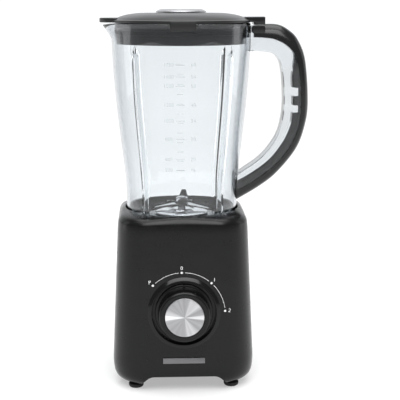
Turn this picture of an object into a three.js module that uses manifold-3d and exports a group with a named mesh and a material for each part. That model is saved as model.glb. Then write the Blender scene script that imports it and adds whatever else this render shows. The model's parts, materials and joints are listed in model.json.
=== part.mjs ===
// Countertop blender: motor base, clear jug with handle, blade unit, lid and filler cap.
// Millimetres, +Z up, +Y to the back, handle towards +X. The blade axis is X = Y = 0 while the
// pieces are built; the last lines move the group so that its box stands centred on the floor.
import * as THREE from 'three';
import { mergeVertices } from 'three/addons/utils/BufferGeometryUtils.js';
import Module from 'manifold-3d';

const wasm = await Module();
wasm.setup();

// ---- driving dimensions -------------------------------------------------------------------
const FIT = 0.3;                     // gap left between touching pieces
const ROUND = 32;                    // sides of the large turned surfaces
const MEDIUM = 24;                   // sides of knobs, rings and discs
const FINE = 12;                     // sides of shafts, pins and feet

const FOOT = { x: 48, y: 50, radius: 7.5, height: 3.7 };
const WALL = 2.6;                    // moulded wall of housing, jug and lid
const BASE = {
  bottom: 4, legInner: 50, wide: 71.1, wideZ: 25, narrow: 65, narrowZ: 161,
  corner: 0.5, archTop: 17.6, archHalf: 33, ledge: 44, ledgeZ: 21.3,
};
const WELL = { rim: 57.6, rimZ: 175.9, radius: 57, floor: 147.5, shaftHole: 7 };
const TAPER = Math.atan((BASE.wide - BASE.narrow) / (BASE.narrowZ - BASE.wideZ));
const PLATE = { low: 18, high: 21, half: 49.6 };
const SCREW = { at: 38, shank: 1.7, head: 3.5, postHeight: 18 };

const DIAL = {
  z: 81.4, recess: 31.2, depth: 3.4, bezelOuter: 36, flange: 28.5, body: 25, disc: 19, proud: 18.5,
};
const BADGE = { z: 34.1, width: 42, height: 5.6, thick: 1 };
const INLET = { z: 34, radius: 5.6 };

const SHAFT_RADIUS = 4;
const STATOR = { low: 62, high: 102, half: 33, bore: 21, yoke: 7, neck: 10 };
const COIL = { inner: STATOR.bore + 2.6, outer: STATOR.half - STATOR.yoke + 2 - FIT, half: 16, end: 6 };
const COUPLING = { low: 148.9, high: 157.4, radius: 13, lobe: 2.2, lobes: 6 };

const JUG = { bottom: 147.8, floorLow: 165.5, floorHigh: 168.5, top: 361.5, rim: 69.3, foot: 56.3 };
const SPOUT = { reach: 9.4, from: 343, drop: 1.8, halfAngle: 0.32 };
const RIB = { depth: 6, thick: 2.6, top: 336, count: 4 };
const HANDLE = { half: 12.5, ribHalf: 8, ribDepth: 8, rootX: 71.4, plateLow: 333.8, plateHigh: 359 };
const TABS = { inner: 103, outer: 117.2, half: 9.5, spans: [[272.2, 279.2], [288.8, 297]] };

const HUB = { radius: 27, low: 169.3, top: 173.6, stem: 11 };
const LID = { skirtLow: 341, flange: 69.2, recess: 38.4, collar: 24.6, tab: 71.8 };
const CAP = { flange: 37.6, cup: 23.4, cupLow: 340, disc: 25, top: 374.9 };
const PIN_AT = 49;                   // distance of the interlock pin behind the blade axis

// ---- solids -------------------------------------------------------------------------------
// Turns any closed three.js geometry into a solid whose faces look outwards.
function solid(geometry) {
  const bare = geometry.index ? geometry.toNonIndexed() : geometry.clone();
  bare.deleteAttribute('normal');
  bare.deleteAttribute('uv');
  const merged = mergeVertices(bare, 1e-4);
  const place = merged.attributes.position;
  const index = merged.index.array;
  const triangles = [];
  let volume = 0;
  const [a, b, c] = [new THREE.Vector3(), new THREE.Vector3(), new THREE.Vector3()];
  for (let i = 0; i < index.length; i += 3) {
    const corner = [index[i], index[i + 1], index[i + 2]];
    if (corner[0] === corner[1] || corner[1] === corner[2] || corner[2] === corner[0]) continue;
    triangles.push(...corner);
    a.fromBufferAttribute(place, corner[0]);
    b.fromBufferAttribute(place, corner[1]);
    c.fromBufferAttribute(place, corner[2]);
    volume += a.dot(b.cross(c));
  }
  if (volume < 0) triangles.reverse();
  return new wasm.Manifold(new wasm.Mesh({
    numProp: 3,
    vertProperties: new Float32Array(place.array),
    triVerts: new Uint32Array(triangles),
  }));
}

function joined(...pieces) {
  return pieces.reduce((whole, piece) => whole.add(piece));
}

function cut(body, ...tools) {
  return tools.reduce((rest, tool) => rest.subtract(tool), body);
}

// A turned solid. The profile is a list of [radius, z] that starts and ends on the axis or
// closes on itself; reshape(point, index) may move each vertex afterwards.
function turned(profile, sides = FINE, reshape = null) {
  const points = profile.map(([radius, z]) => new THREE.Vector2(radius, z));
  if (profile[0][0] > 0) points.push(points[0].clone());
  const geometry = new THREE.LatheGeometry(points, sides);
  geometry.rotateX(Math.PI / 2);
  if (reshape) {
    const place = geometry.attributes.position;
    const point = new THREE.Vector3();
    for (let i = 0; i < place.count; i += 1) {
      point.fromBufferAttribute(place, i);
      reshape(point, (i % points.length) % profile.length);
      place.setXYZ(i, point.x, point.y, point.z);
    }
  }
  return solid(geometry);
}

function drum(radius, low, high, x = 0, y = 0, sides = FINE) {
  return turned([[0, low], [radius, low], [radius, high], [0, high]], sides).translate([x, y, 0]);
}

function ring(inner, outer, low, high, sides = FINE) {
  return turned([[inner, low], [outer, low], [outer, high], [inner, high]], sides);
}

function hexNut(inner, outer, low, high) {
  return cut(drum(outer, low, high, 0, 0, 6), drum(inner, low - 1, high + 1, 0, 0, MEDIUM));
}

function block(low, high) {
  const size = high.map((value, i) => value - low[i]);
  const geometry = new THREE.BoxGeometry(...size);
  geometry.translate(...high.map((value, i) => (value + low[i]) / 2));
  return solid(geometry);
}

// An outline in the XY plane, raised from low to high.
function raised(points, low, high) {
  const shape = new THREE.Shape(points.map(([x, y]) => new THREE.Vector2(x, y)));
  const geometry = new THREE.ExtrudeGeometry(shape, { depth: high - low, bevelEnabled: false });
  geometry.translate(0, 0, low);
  return solid(geometry);
}

// An outline in the XZ plane, as thick as 2 * half along Y.
function upright(points, half) {
  return raised(points, -half, half).rotate([90, 0, 0]);
}

function circle(radius, sides, squareness = () => 1) {
  return Array.from({ length: sides }, (_, i) => {
    const angle = (2 * Math.PI * i) / sides;
    const reach = radius * squareness(angle);
    return [reach * Math.cos(angle), reach * Math.sin(angle)];
  });
}

// How much farther than its flat sides a rounded square of half width 1 reaches at an angle.
function squareReach(angle) {
  const quarter = Math.PI / 2;
  const turn = ((angle % quarter) + quarter) % quarter;
  const fromFlat = Math.min(turn, quarter - turn);
  const straight = 1 - BASE.corner;
  if (Math.tan(fromFlat) <= straight) return 1 / Math.cos(fromFlat);
  const along = straight * (Math.cos(fromFlat) + Math.sin(fromFlat));
  return along + Math.sqrt(along ** 2 - 2 * straight ** 2 + BASE.corner ** 2);
}

function roundedSquare(half, low, high) {
  return raised(circle(half, ROUND, squareReach), low, high);
}

// ---- scene graph --------------------------------------------------------------------------
const blender = new THREE.Group();

const FINISH = {
  blackPlastic: { color: 0x2b2b2d, roughness: 0.38, metalness: 0 },
  glossBlack: { color: 0x141415, roughness: 0.12, metalness: 0 },
  lidPlastic: { color: 0x3a3a3c, roughness: 0.3, metalness: 0 },
  clear: { color: 0xdfe6ea, roughness: 0.05, metalness: 0, transparent: true, opacity: 0.35 },
  steel: { color: 0xc9cacc, roughness: 0.25, metalness: 1 },
  chrome: { color: 0xdcdddf, roughness: 0.08, metalness: 1 },
  silver: { color: 0xb9babc, roughness: 0.35, metalness: 1 },
  rubber: { color: 0x1c1c1c, roughness: 0.9, metalness: 0 },
  copper: { color: 0xa8613a, roughness: 0.45, metalness: 1 },
  iron: { color: 0x6f7174, roughness: 0.6, metalness: 1 },
  nylon: { color: 0xd9d6cc, roughness: 0.6, metalness: 0 },
  silicone: { color: 0xe8e8e6, roughness: 0.7, metalness: 0 },
};

function add(name, piece, finish) {
  const { vertProperties, triVerts } = piece.getMesh();
  const geometry = new THREE.BufferGeometry();
  geometry.setAttribute('position', new THREE.BufferAttribute(new Float32Array(vertProperties), 3));
  geometry.setIndex(new THREE.BufferAttribute(new Uint32Array(triVerts), 1));
  geometry.computeVertexNormals();
  const mesh = new THREE.Mesh(geometry, new THREE.MeshStandardMaterial(FINISH[finish]));
  mesh.name = name;
  blender.add(mesh);
  return mesh;
}

// Half width of the housing's flat faces at a height, outside.
function faceAt(z) {
  return BASE.wide - (z - BASE.wideZ) * Math.tan(TAPER);
}

// Moves a piece built round the Z axis onto the sloping front face, its +Z looking outwards.
function onFace(piece, z) {
  return piece.rotate([90 - THREE.MathUtils.radToDeg(TAPER), 0, 0]).translate([0, -faceAt(z), z]);
}

// ---- motor base ---------------------------------------------------------------------------
const CORNERS = [[-1, -1, 'front_left'], [1, -1, 'front_right'], [-1, 1, 'back_left'], [1, 1, 'back_right']];

// The housing is one moulding: corner legs, four tapering walls, a shoulder that turns from the
// rounded square into the round rim, and the well that takes the jug. Each row of the profile is
// radius, height and squareness.
function housingShell() {
  const rows = [
    [BASE.legInner, BASE.bottom, 1], [55.5, BASE.bottom, 1], [62.6, 6.2, 1], [67.8, 10.6, 1],
    [70.4, 16.4, 1], [BASE.wide, BASE.wideZ, 1],
    [BASE.narrow, BASE.narrowZ, 1], [64.2, 165.8, 1], [62.8, 169.6, 0.95],
    [61, 172.7, 0.7], [59.4, 174.8, 0.3], [WELL.rim + 0.5, WELL.rimZ, 0], [WELL.rim, WELL.rimZ - 0.4, 0],
    [WELL.radius, WELL.floor, 0], [WELL.shaftHole, WELL.floor, 0], [WELL.shaftHole, WELL.floor - WALL, 0],
    [WELL.radius + 1.6, WELL.floor - WALL, 0], [WELL.radius + 2.2, 166, 0.2], [BASE.narrow - WALL, 159, 1],
    [faceAt(BASE.ledgeZ + WALL) - WALL, BASE.ledgeZ + WALL, 1], [BASE.ledge, BASE.ledgeZ + WALL, 1],
    [BASE.ledge, BASE.ledgeZ, 1], [BASE.legInner, BASE.ledgeZ, 1],
  ];
  const profile = rows.map(([radius, z]) => [radius, z]);
  return turned(profile, ROUND, (point, row) => {
    const reach = squareReach(Math.atan2(point.y, point.x));
    const factor = 1 + rows[row][2] * (reach - 1);
    point.x *= factor;
    point.y *= factor;
  });
}

function baseHousing() {
  const reach = 90;
  const slope = 7;
  const arch = upright([
    [-BASE.archHalf - 2 * slope, 0], [BASE.archHalf + 2 * slope, 0],
    [BASE.archHalf + slope, BASE.bottom + 2], [BASE.archHalf, BASE.archTop],
    [-BASE.archHalf, BASE.archTop], [-BASE.archHalf - slope, BASE.bottom + 2],
  ], reach);
  let housing = joined(
    housingShell(),
    ...CORNERS.map(([x, y]) => drum(FOOT.radius + 0.8, FOOT.height + FIT, 14, x * FOOT.x, y * FOOT.y)),
    ...CORNERS.map(([x, y]) => drum(4.5, BASE.ledgeZ + 0.4, BASE.ledgeZ + SCREW.postHeight,
      x * SCREW.at, y * SCREW.at, 12)),
  );
  housing = cut(housing, arch, arch.rotate([0, 0, 90]));
  housing = cut(housing,
    onFace(drum(DIAL.recess, -DIAL.depth + 2, 9, 0, 0, MEDIUM), DIAL.z),
    onFace(drum(3.4, -9, 9, 0, 0, FINE), DIAL.z),
    drum(INLET.radius + 2 * FIT, -12, 12).rotate([90, 0, 0]).translate([0, faceAt(INLET.z), INLET.z]),
    drum(3, 140, 152, 0, PIN_AT, FINE),
    ...CORNERS.map(([x, y]) => drum(SCREW.shank + FIT, 10, BASE.ledgeZ + SCREW.postHeight - 3,
      x * SCREW.at, y * SCREW.at, 10)));
  return housing;
}

// The dial's seat stiffens the thin wall behind the recess.
function dialSeat() {
  return onFace(ring(3.4, DIAL.recess + 2.4, -DIAL.depth - 1.6, -0.6, MEDIUM), DIAL.z);
}

const seatRecess = onFace(drum(DIAL.recess, -DIAL.depth, 9, 0, 0, MEDIUM), DIAL.z);
add('base_housing', cut(joined(baseHousing(), dialSeat()), seatRecess), 'blackPlastic');

add('bottom_plate', cut(
  roundedSquare(PLATE.half, PLATE.low, PLATE.high),
  ...CORNERS.map(([x, y]) => drum(SCREW.shank + FIT, 10, 30, x * SCREW.at, y * SCREW.at, 10)),
  ...[-3, -2, -1, 0, 1, 2, 3].map((slot) => block([-18, slot * 6 - 1.4, 10], [18, slot * 6 + 1.4, 30])),
), 'blackPlastic');

for (const [x, y, corner] of CORNERS) {
  const foot = turned([
    [0, 0], [FOOT.radius - 1.4, 0], [FOOT.radius - 0.3, 1.2], [FOOT.radius, FOOT.height], [0, FOOT.height],
  ], FINE);
  add(`foot_${corner}`, foot.translate([x * FOOT.x, y * FOOT.y, 0]), 'rubber');
}

for (const [x, y, corner] of CORNERS) {
  const screw = turned([
    [0, PLATE.low - FIT - 2], [2.6, PLATE.low - FIT - 2], [SCREW.head, PLATE.low - FIT - 0.9],
    [SCREW.head, PLATE.low - FIT], [SCREW.shank, PLATE.low - FIT],
    [SCREW.shank, BASE.ledgeZ + 13], [0, BASE.ledgeZ + 14.5],
  ], 12);
  add(`bottom_screw_${corner}`, screw.translate([x * SCREW.at, y * SCREW.at, 0]), 'steel');
}

// The grommet in the back wall through which a mains cord would leave the base.
const grommet = turned([
  [0, -8], [INLET.radius, -8], [INLET.radius, FIT], [INLET.radius + 2.4, FIT], [INLET.radius + 2.4, 2.4],
  [INLET.radius, 5], [3.4, 5], [3.4, -5], [0, -5],
], FINE);
add('cord_inlet', grommet.rotate([-90, 0, 0]).translate([0, faceAt(INLET.z) + 0.4, INLET.z]), 'rubber');

add('dial_bezel', onFace(turned([
  [DIAL.recess + 0.3, FIT], [DIAL.bezelOuter, FIT], [DIAL.bezelOuter - 0.4, 1],
  [DIAL.bezelOuter - 2.2, 1.5], [DIAL.recess + 0.9, 0.9],
], MEDIUM), DIAL.z), 'glossBlack');

const badge = [-1, 1, 1, -1].map((side, i) => [side * BADGE.width / 2, (i < 2 ? -1 : 1) * BADGE.height / 2]);
add('badge_plate', onFace(raised(badge, FIT, FIT + BADGE.thick), BADGE.z), 'silver');

// ---- speed knob ---------------------------------------------------------------------------
const seat = -DIAL.depth + 0.4;
const knobBody = cut(turned([
  [0, seat], [DIAL.flange, seat], [DIAL.flange, seat + 2.6], [DIAL.flange - 1, seat + 3.2],
  [DIAL.body + 0.4, seat + 3.4], [DIAL.body, DIAL.proud - 3.4], [DIAL.body - 0.9, DIAL.proud - 1.2],
  [DIAL.body - 3, DIAL.proud], [DIAL.disc + 0.5, DIAL.proud], [DIAL.disc + 0.5, DIAL.proud - 1.8],
  [0, DIAL.proud - 1.8],
], MEDIUM), drum(3.3, seat - 1, seat + 7, 0, 0, FINE));
const pointer = block([-1.2, DIAL.body - 1, seat + 2], [1.2, DIAL.flange - 0.4, seat + 4.6]);
add('knob', onFace(joined(knobBody, pointer), DIAL.z), 'blackPlastic');
add('knob_disc', onFace(turned([
  [0, DIAL.proud - 1.5], [DIAL.disc, DIAL.proud - 1.5], [DIAL.disc, DIAL.proud + 0.1],
  [DIAL.disc - 0.8, DIAL.proud + 0.6], [0, DIAL.proud + 0.3],
], MEDIUM), DIAL.z), 'silver');
add('switch_shaft', onFace(drum(3, -20, seat + 6.6, 0, 0, FINE), DIAL.z), 'nylon');

const switchBox = block([-15, -12, -24], [15, 12, -6.4]);
add('rotary_switch', onFace(cut(switchBox, drum(3.3, -21, 0, 0, 0, FINE)), DIAL.z), 'nylon');

// ---- motor --------------------------------------------------------------------------------
add('motor_shaft', drum(SHAFT_RADIUS, 26, 152, 0, 0, FINE), 'steel');

// Laminated stator: a square yoke with two pole pieces whose shoes wrap round the bore.
function statorCore() {
  const { low, high, half, bore, yoke, neck } = STATOR;
  const frame = cut(
    raised(circle(half, ROUND, squareReach), low, high),
    block([-half + yoke, -half + yoke - 2, low - 1], [half - yoke, half - yoke + 2, high + 1]),
  );
  const poles = block([-neck, -half + 1, low], [neck, half - 1, high]);
  const shoes = ring(bore - 1, bore + 2.2, low, high, MEDIUM).intersect(
    block([-16, -half, low - 1], [16, half, high + 1]));
  return cut(joined(frame, poles, shoes), drum(bore, low - 1, high + 1, 0, 0, MEDIUM));
}
add('stator_core', statorCore(), 'iron');

// Each field coil is a flat loop wound round one pole's neck.
for (const [name, side] of [['field_coil_front', -1], ['field_coil_back', 1]]) {
  const [low, high] = [side * COIL.inner, side * COIL.outer].sort((one, other) => one - other);
  const { half, end } = COIL;
  const loop = cut(
    block([-half, low, STATOR.low - FIT - end], [half, high, STATOR.high + FIT + end]),
    block([-STATOR.neck - FIT, low - 1, STATOR.low - FIT], [STATOR.neck + FIT, high + 1, STATOR.high + FIT]),
  );
  add(name, loop, 'copper');
}

const slots = Array.from({ length: 8 }, (_, i) => block([18, -1, 50], [22, 1, 110]).rotate([0, 0, i * 45]));
const rotorStack = ring(SHAFT_RADIUS + FIT, STATOR.bore - 0.6, STATOR.low, STATOR.high, 36);
add('armature_core', cut(rotorStack, ...slots), 'iron');
const WINDINGS = [
  ['armature_winding_bottom', 55, STATOR.low - FIT],
  ['armature_winding_top', STATOR.high + FIT, 110],
];
for (const [name, low, high] of WINDINGS) {
  add(name, turned([
    [SHAFT_RADIUS + FIT, low], [13, low], [17.4, low + 2.2],
    [17.4, high - 2.2], [13, high], [SHAFT_RADIUS + FIT, high],
  ], FINE), 'copper');
}
add('commutator', ring(SHAFT_RADIUS + FIT, 10.5, 41, 53.6, FINE), 'copper');

// Radial fan that draws cooling air up through the bottom slots.
function coolingFan() {
  const hub = ring(SHAFT_RADIUS + FIT, 8, 112, 121, FINE);
  const disc = ring(7, 26.5, 112, 113.6, MEDIUM);
  const vane = block([7, -0.9, 113], [26, 0.9, 121]);
  const vanes = Array.from({ length: 9 }, (_, i) => vane.rotate([0, 0, i * 40]));
  return joined(hub, disc, ...vanes);
}
add('cooling_fan', coolingFan(), 'nylon');

// Brackets carry the bearings; their legs clamp the stator between them.
function bracket(low, thick, legLow, legHigh) {
  const windows = [-28, 14].map((front) => (
    block([-12, front, low - 1], [12, front + 14, low + thick + 1])));
  const plate = cut(roundedSquare(STATOR.half, low, low + thick), ...windows);
  const legs = [-1, 1].map((side) => block(
    [side > 0 ? 29.4 : -32.6, -10, legLow], [side > 0 ? 32.6 : -29.4, 10, legHigh]));
  return cut(joined(plate, ...legs), drum(8, 20, 130, 0, 0, FINE));
}
add('lower_bracket', bracket(32, 4, 34, STATOR.low - FIT), 'iron');
add('upper_bracket', bracket(124, 4, STATOR.high + FIT, 126), 'iron');
add('lower_bearing', ring(SHAFT_RADIUS + FIT, 7.4, 31, 37), 'steel');
add('upper_bearing', ring(SHAFT_RADIUS + FIT, 7.4, 123, 129), 'steel');

for (const [name, side] of [['brush_holder_front', -1], ['brush_holder_back', 1]]) {
  const holder = joined(block([-4, 10.9, 43], [4, 27, 51]), block([-6, 27, 42], [6, 29, 52]),
    block([-3, 28, 36.3], [3, 31, 47]));
  add(name, side > 0 ? holder : holder.rotate([0, 0, 180]), 'nylon');
}

for (const [x, y, corner] of CORNERS) {
  const mount = turned([
    [0, 128.3], [6.5, 128.3], [6.5, 132.5], [5, 134.5], [5, 138.5], [6.5, 140.5], [6.5, 144.6], [0, 144.6],
  ], FINE);
  add(`motor_mount_${corner}`, mount.translate([x * 21, y * 21, 0]), 'rubber');
}

// ---- couplings ----------------------------------------------------------------------------
function star(radius, grow) {
  const { lobe, lobes } = COUPLING;
  return circle(1, 6 * lobes).map(([x, y]) => {
    const angle = Math.atan2(y, x);
    const reach = radius + grow + lobe * Math.cos(lobes * angle);
    return [reach * Math.cos(angle), reach * Math.sin(angle)];
  });
}
add('drive_coupling', cut(
  raised(star(COUPLING.radius, 0), COUPLING.low, COUPLING.high),
  drum(SHAFT_RADIUS + FIT, 140, 153, 0, 0, FINE),
), 'nylon');
add('driven_coupling', cut(
  drum(20, 149.2, 160.8, 0, 0, MEDIUM),
  raised(star(COUPLING.radius, 0.5), 145, COUPLING.high + 0.6),
  drum(SHAFT_RADIUS + FIT, 150, 165, 0, 0, FINE),
), 'blackPlastic');

// ---- safety interlock ---------------------------------------------------------------------
add('interlock_pin', turned([
  [0, 138.7], [2.6, 138.7], [2.6, 141.6], [4, 141.6], [4, 143.2], [2.6, 143.2],
  [2.6, 150.6], [1.8, 151.5], [0, 151.5],
], FINE).translate([0, PIN_AT, 0]), 'nylon');
add('interlock_switch', block([-10, PIN_AT - 4, 124], [10, PIN_AT + 4, 136.4]), 'nylon');

// ---- jug ----------------------------------------------------------------------------------
// Outer radius of the jug's wall against height.
const JUG_OUTSIDE = [
  [JUG.foot, JUG.bottom], [JUG.foot, 176], [56.7, 200], [58.4, 218], [61.6, 246], [65.7, 284], [69.1, 334],
  [69.2, SPOUT.from], [69.3, 350], [69.3, 356], [JUG.rim, JUG.top],
];

function jugRadius(z) {
  const above = JUG_OUTSIDE.findIndex(([, height]) => height >= z);
  const [r1, z1] = JUG_OUTSIDE[above];
  const [r0, z0] = JUG_OUTSIDE[Math.max(above - 1, 0)];
  return z1 === z0 ? r1 : r0 + ((r1 - r0) * (z - z0)) / (z1 - z0);
}

// The wall bulges out to the left into the pouring spout, and its lip dips a little.
function spout(point) {
  const angle = Math.PI - Math.abs(Math.atan2(point.y, point.x));
  if (point.z <= SPOUT.from || angle >= SPOUT.halfAngle * 2) return;
  const across = Math.cos((angle / SPOUT.halfAngle) * (Math.PI / 4)) ** 2;
  const up = ((point.z - SPOUT.from) / (JUG.top - SPOUT.from)) ** 1.1;
  const grow = 1 + (SPOUT.reach * across * up) / Math.hypot(point.x, point.y);
  point.x *= grow;
  point.y *= grow;
  point.z -= SPOUT.drop * across * up ** 3;
}

function jugBody() {
  const outside = JUG_OUTSIDE;
  const inside = JUG_OUTSIDE.filter(([, z]) => z > 176).map(([radius, z]) => [radius - WALL, z]).reverse();
  const shell = turned([
    ...outside, ...inside,
    [JUG.foot - WALL, 176], [JUG.foot - WALL - 3, JUG.floorHigh + 0.8], [48, JUG.floorHigh],
    [HUB.stem + 0.6, JUG.floorHigh], [HUB.stem + 0.6, JUG.floorLow], [50, JUG.floorLow],
    [JUG.foot - WALL, JUG.floorLow - 3], [JUG.foot - WALL, JUG.bottom],
  ], ROUND, spout);
  const ribOutline = [
    ...[176, 218, 284, RIB.top].map((z) => [jugRadius(z) - 1, z]),
    ...[RIB.top - 5, 284, 218, 176].map((z) => [jugRadius(z) - WALL - RIB.depth, z]),
    [jugRadius(176) - WALL - RIB.depth, JUG.floorHigh - 1], [jugRadius(176) - 1, JUG.floorHigh - 1],
  ];
  const ribs = Array.from({ length: RIB.count }, (_, i) => (
    upright(ribOutline, RIB.thick / 2).rotate([0, 0, 45 + (i * 360) / RIB.count])));
  const cam = block([-5, PIN_AT - 3, 151.9], [5, PIN_AT + 5.4, 157]);
  return joined(shell, ...ribs, cam);
}
add('jug', jugBody(), 'clear');

// ---- handle -------------------------------------------------------------------------------
function curve(points, steps = 22) {
  const spline = new THREE.SplineCurve(points.map(([x, z]) => new THREE.Vector2(x, z)));
  return spline.getPoints(steps).map((point) => [point.x, point.y]);
}

// The same curve moved sideways, towards the jug for a positive distance.
function offset(points, distance) {
  return points.map(([x, z], i) => {
    const [x0, z0] = points[Math.max(i - 1, 0)];
    const [x1, z1] = points[Math.min(i + 1, points.length - 1)];
    const length = Math.hypot(x1 - x0, z1 - z0);
    return [x + (distance * (z1 - z0)) / length, z - (distance * (x1 - x0)) / length];
  });
}

const crownOuter = curve([
  [HANDLE.rootX + 0.3, 359.8], [95, 360.1], [108.2, 354.1], [117.4, 344.2], [124.8, 324.2],
  [127.8, 284], [125.4, 259.4], [116.8, 234.7], [97, 210], [78.6, 195.5], [54, 181],
]);
const crownInner = curve([
  [HANDLE.rootX + 0.3, 347.5], [91.2, 345.7], [106.4, 338.2], [115.3, 324.2], [119.6, 298], [119.6, 268.6],
  [116, 251.2], [107.5, 234.8], [93.8, 218.3], [71.8, 202], [52, 191.2],
]);
const gripInner = curve([
  [60, 333.8], [74, 333.8], [87.8, 332.3], [94.9, 328.3], [100.5, 316.3], [103, 284], [100.3, 259.5],
  [93.5, 243.1], [80.4, 226.7], [62, 213.4], [50, 206],
]);
const RIB_FROM = 7;                  // the curve's step at which the cover's rib begins

function band(outer, inner, half) {
  return upright([...outer, ...[...inner].reverse()], half);
}

const jugClearance = turned([
  [0, 170], [JUG.foot + FIT, 170], ...JUG_OUTSIDE.slice(2).map(([radius, z]) => [radius + FIT, z]),
  [JUG.rim + FIT, 380], [0, 380],
], ROUND);
const jugSide = block([-90, -40, 160], [45, 40, 380]);

// Two clear tabs bridge the frame's channel and snap into gaps in the cover's rib.
function snapTabs(grow) {
  const { inner, outer, half, spans } = TABS;
  return joined(...spans.map(([low, high]) => block([inner - grow, -half - grow, low - grow],
    [outer + grow, half + grow, high + grow])));
}

function handleCover() {
  const ribTop = crownInner.slice(RIB_FROM);
  const crown = band(crownOuter, crownInner, HANDLE.half);
  const rib = band(offset(ribTop, -1), offset(ribTop, HANDLE.ribDepth), HANDLE.ribHalf);
  const hook = block([HANDLE.rootX + 0.3, -HANDLE.half - 0.6, 351], [83.2, HANDLE.half + 0.6, 358.9]);
  return cut(joined(crown, rib, hook),
    block([60, -20, 358.9], [83.4, 20, 366]), snapTabs(FIT), jugClearance, jugSide);
}
add('handle_cover', handleCover(), 'glossBlack');

function handleFrame() {
  const slotTop = crownInner.slice(RIB_FROM - 1);
  const arms = band(offset(crownInner, FIT), gripInner, HANDLE.half);
  const plate = block([60, -HANDLE.half, HANDLE.plateLow], [HANDLE.rootX, HANDLE.half, HANDLE.plateHigh]);
  const channel = band(offset(slotTop, -3), offset(slotTop, HANDLE.ribDepth + FIT), HANDLE.ribHalf + FIT);
  return cut(joined(cut(joined(arms, plate), channel), snapTabs(0)), jugClearance, jugSide);
}
add('handle_frame', handleFrame(), 'clear');

// ---- blade unit ---------------------------------------------------------------------------
// Fixed in the jug's floor: a plated bearing housing, its gasket and the nut underneath.
add('blade_bearing_housing', turned([
  [SHAFT_RADIUS + 0.4, 161], [HUB.stem, 161], [HUB.stem, 169], [13, 169.6], [20, 169.6], [HUB.radius, 169.6],
  [HUB.radius, 170.6], [24, 171.4], [14, 172.4], [9, HUB.top], [SHAFT_RADIUS + 0.4, HUB.top],
], MEDIUM), 'chrome');
add('jug_gasket', ring(13.5, 26, JUG.floorHigh + 0.2, 169.4, MEDIUM), 'silicone');
add('blade_lock_nut', hexNut(HUB.stem + FIT, 19, 161.2, JUG.floorLow - FIT), 'blackPlastic');

add('blade_shaft', drum(SHAFT_RADIUS, 158.2, 185.6, 0, 0, FINE), 'steel');

// A stamped blade: its side view gives the bends, its plan gives the pointed arms.
function blade(z, thick, flat, reach, rise) {
  const side = [[-reach, z + rise], [-flat, z], [flat, z], [reach, z + rise]];
  const top = side.map(([x, height]) => [x, height + thick]).reverse();
  const plan = [
    [-reach, -3.4], [-flat, -6], [flat, -6], [reach, -0.8],
    [reach, 3.4], [flat, 6], [-flat, 6], [-reach, 0.8],
  ];
  return cut(upright([...side, ...top], 8).intersect(raised(plan, 160, 200)),
    drum(SHAFT_RADIUS + FIT, 160, 200, 0, 0, FINE));
}
add('lower_blade', blade(176.9, 1.3, 8, 28, -4.2).rotate([0, 0, -12]), 'steel');
add('upper_blade', blade(179.7, 1.3, 8, 19.5, 8.6).rotate([0, 0, 78]), 'steel');
add('blade_spacer', ring(SHAFT_RADIUS + FIT, 6.5, 178.5, 179.4, FINE), 'steel');
add('blade_nut', hexNut(SHAFT_RADIUS + FIT, 6.8, 181.3, 184.5), 'steel');

// ---- lid and filler cap -------------------------------------------------------------------
function lidBody() {
  const dome = turned([
    [LID.collar, 369.2], [LID.recess, 369.2], [LID.recess + 0.4, 371], [42, 371.1], [52, 369.9],
    [60, 367.9], [66.5, 364.7], [LID.flange, 364.3], [LID.flange, 361.9], [65.4, 361.9], [65.2, 354.3],
    [63.8, 354.3], [63.8, 350.2], [65.2, 350.2], [64.8, LID.skirtLow], [62.4, LID.skirtLow], [62.8, 360.8],
    [58, 365], [50, 367], [39, 366.6], [LID.collar + 2.2, 366.6], [LID.collar + 2.2, 352], [LID.collar, 352],
  ], ROUND);
  const skin = cut(
    drum(LID.tab, 355, 364.3, 0, 0, ROUND),
    drum(JUG.rim + FIT, 350, 361.9, 0, 0, ROUND),
    drum(66, 350, 380));
  const lockTabs = [-1, 1].map((side) => skin.intersect(block(
    [-12.8, side < 0 ? -80 : 60, 350], [12.8, side < 0 ? -60 : 80, 370])));
  const tongue = raised([
    [-60, -19], [-74, -14], [-79.5, -9], [-81, -3], [-81, 3], [-79.5, 9], [-74, 14], [-60, 19],
  ], 361.9, 366.4).subtract(drum(62, 350, 380, 0, 0, ROUND));
  const cover = upright([
    [62, 364], [62, 367.2], [81, 367.5], [83, 366], [83, 359.4], [72.2, 359.4], [72.2, 362.2], [66, 362.2],
  ], HANDLE.half + 0.6);
  return joined(dome, ...lockTabs, tongue, cover);
}
add('lid', lidBody(), 'lidPlastic');
add('lid_seal', turned([
  [64.1, 350.6], [66, 351.3], [66, 353.2], [64.1, 353.9],
], ROUND), 'silicone');

add('filler_cap', turned([
  [0, 371.3], [CAP.flange - 0.8, 371.3], [CAP.flange, 370.6], [CAP.flange, 369.5], [CAP.cup + 0.2, 369.5],
  [CAP.cup - 0.3, CAP.cupLow], [CAP.cup - 2.3, CAP.cupLow], [CAP.cup - 1.8, 367.2], [0, 367.2],
], MEDIUM), 'glossBlack');
add('cap_disc', turned([
  [0, 371.6], [CAP.disc, 371.6], [CAP.disc, 372.7], [23.4, 374.2], [20.6, CAP.top], [0, CAP.top - 0.2],
], MEDIUM), 'silver');

// ---- stand the whole object on the middle of its box --------------------------------------
const box = new THREE.Box3().setFromObject(blender);
const middle = box.getCenter(new THREE.Vector3());
blender.position.set(-middle.x, -middle.y, -box.min.z);
blender.updateMatrixWorld(true);

export default blender;
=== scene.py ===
import json
import math

import bmesh
import bpy
from mathutils import Matrix, Vector

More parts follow.
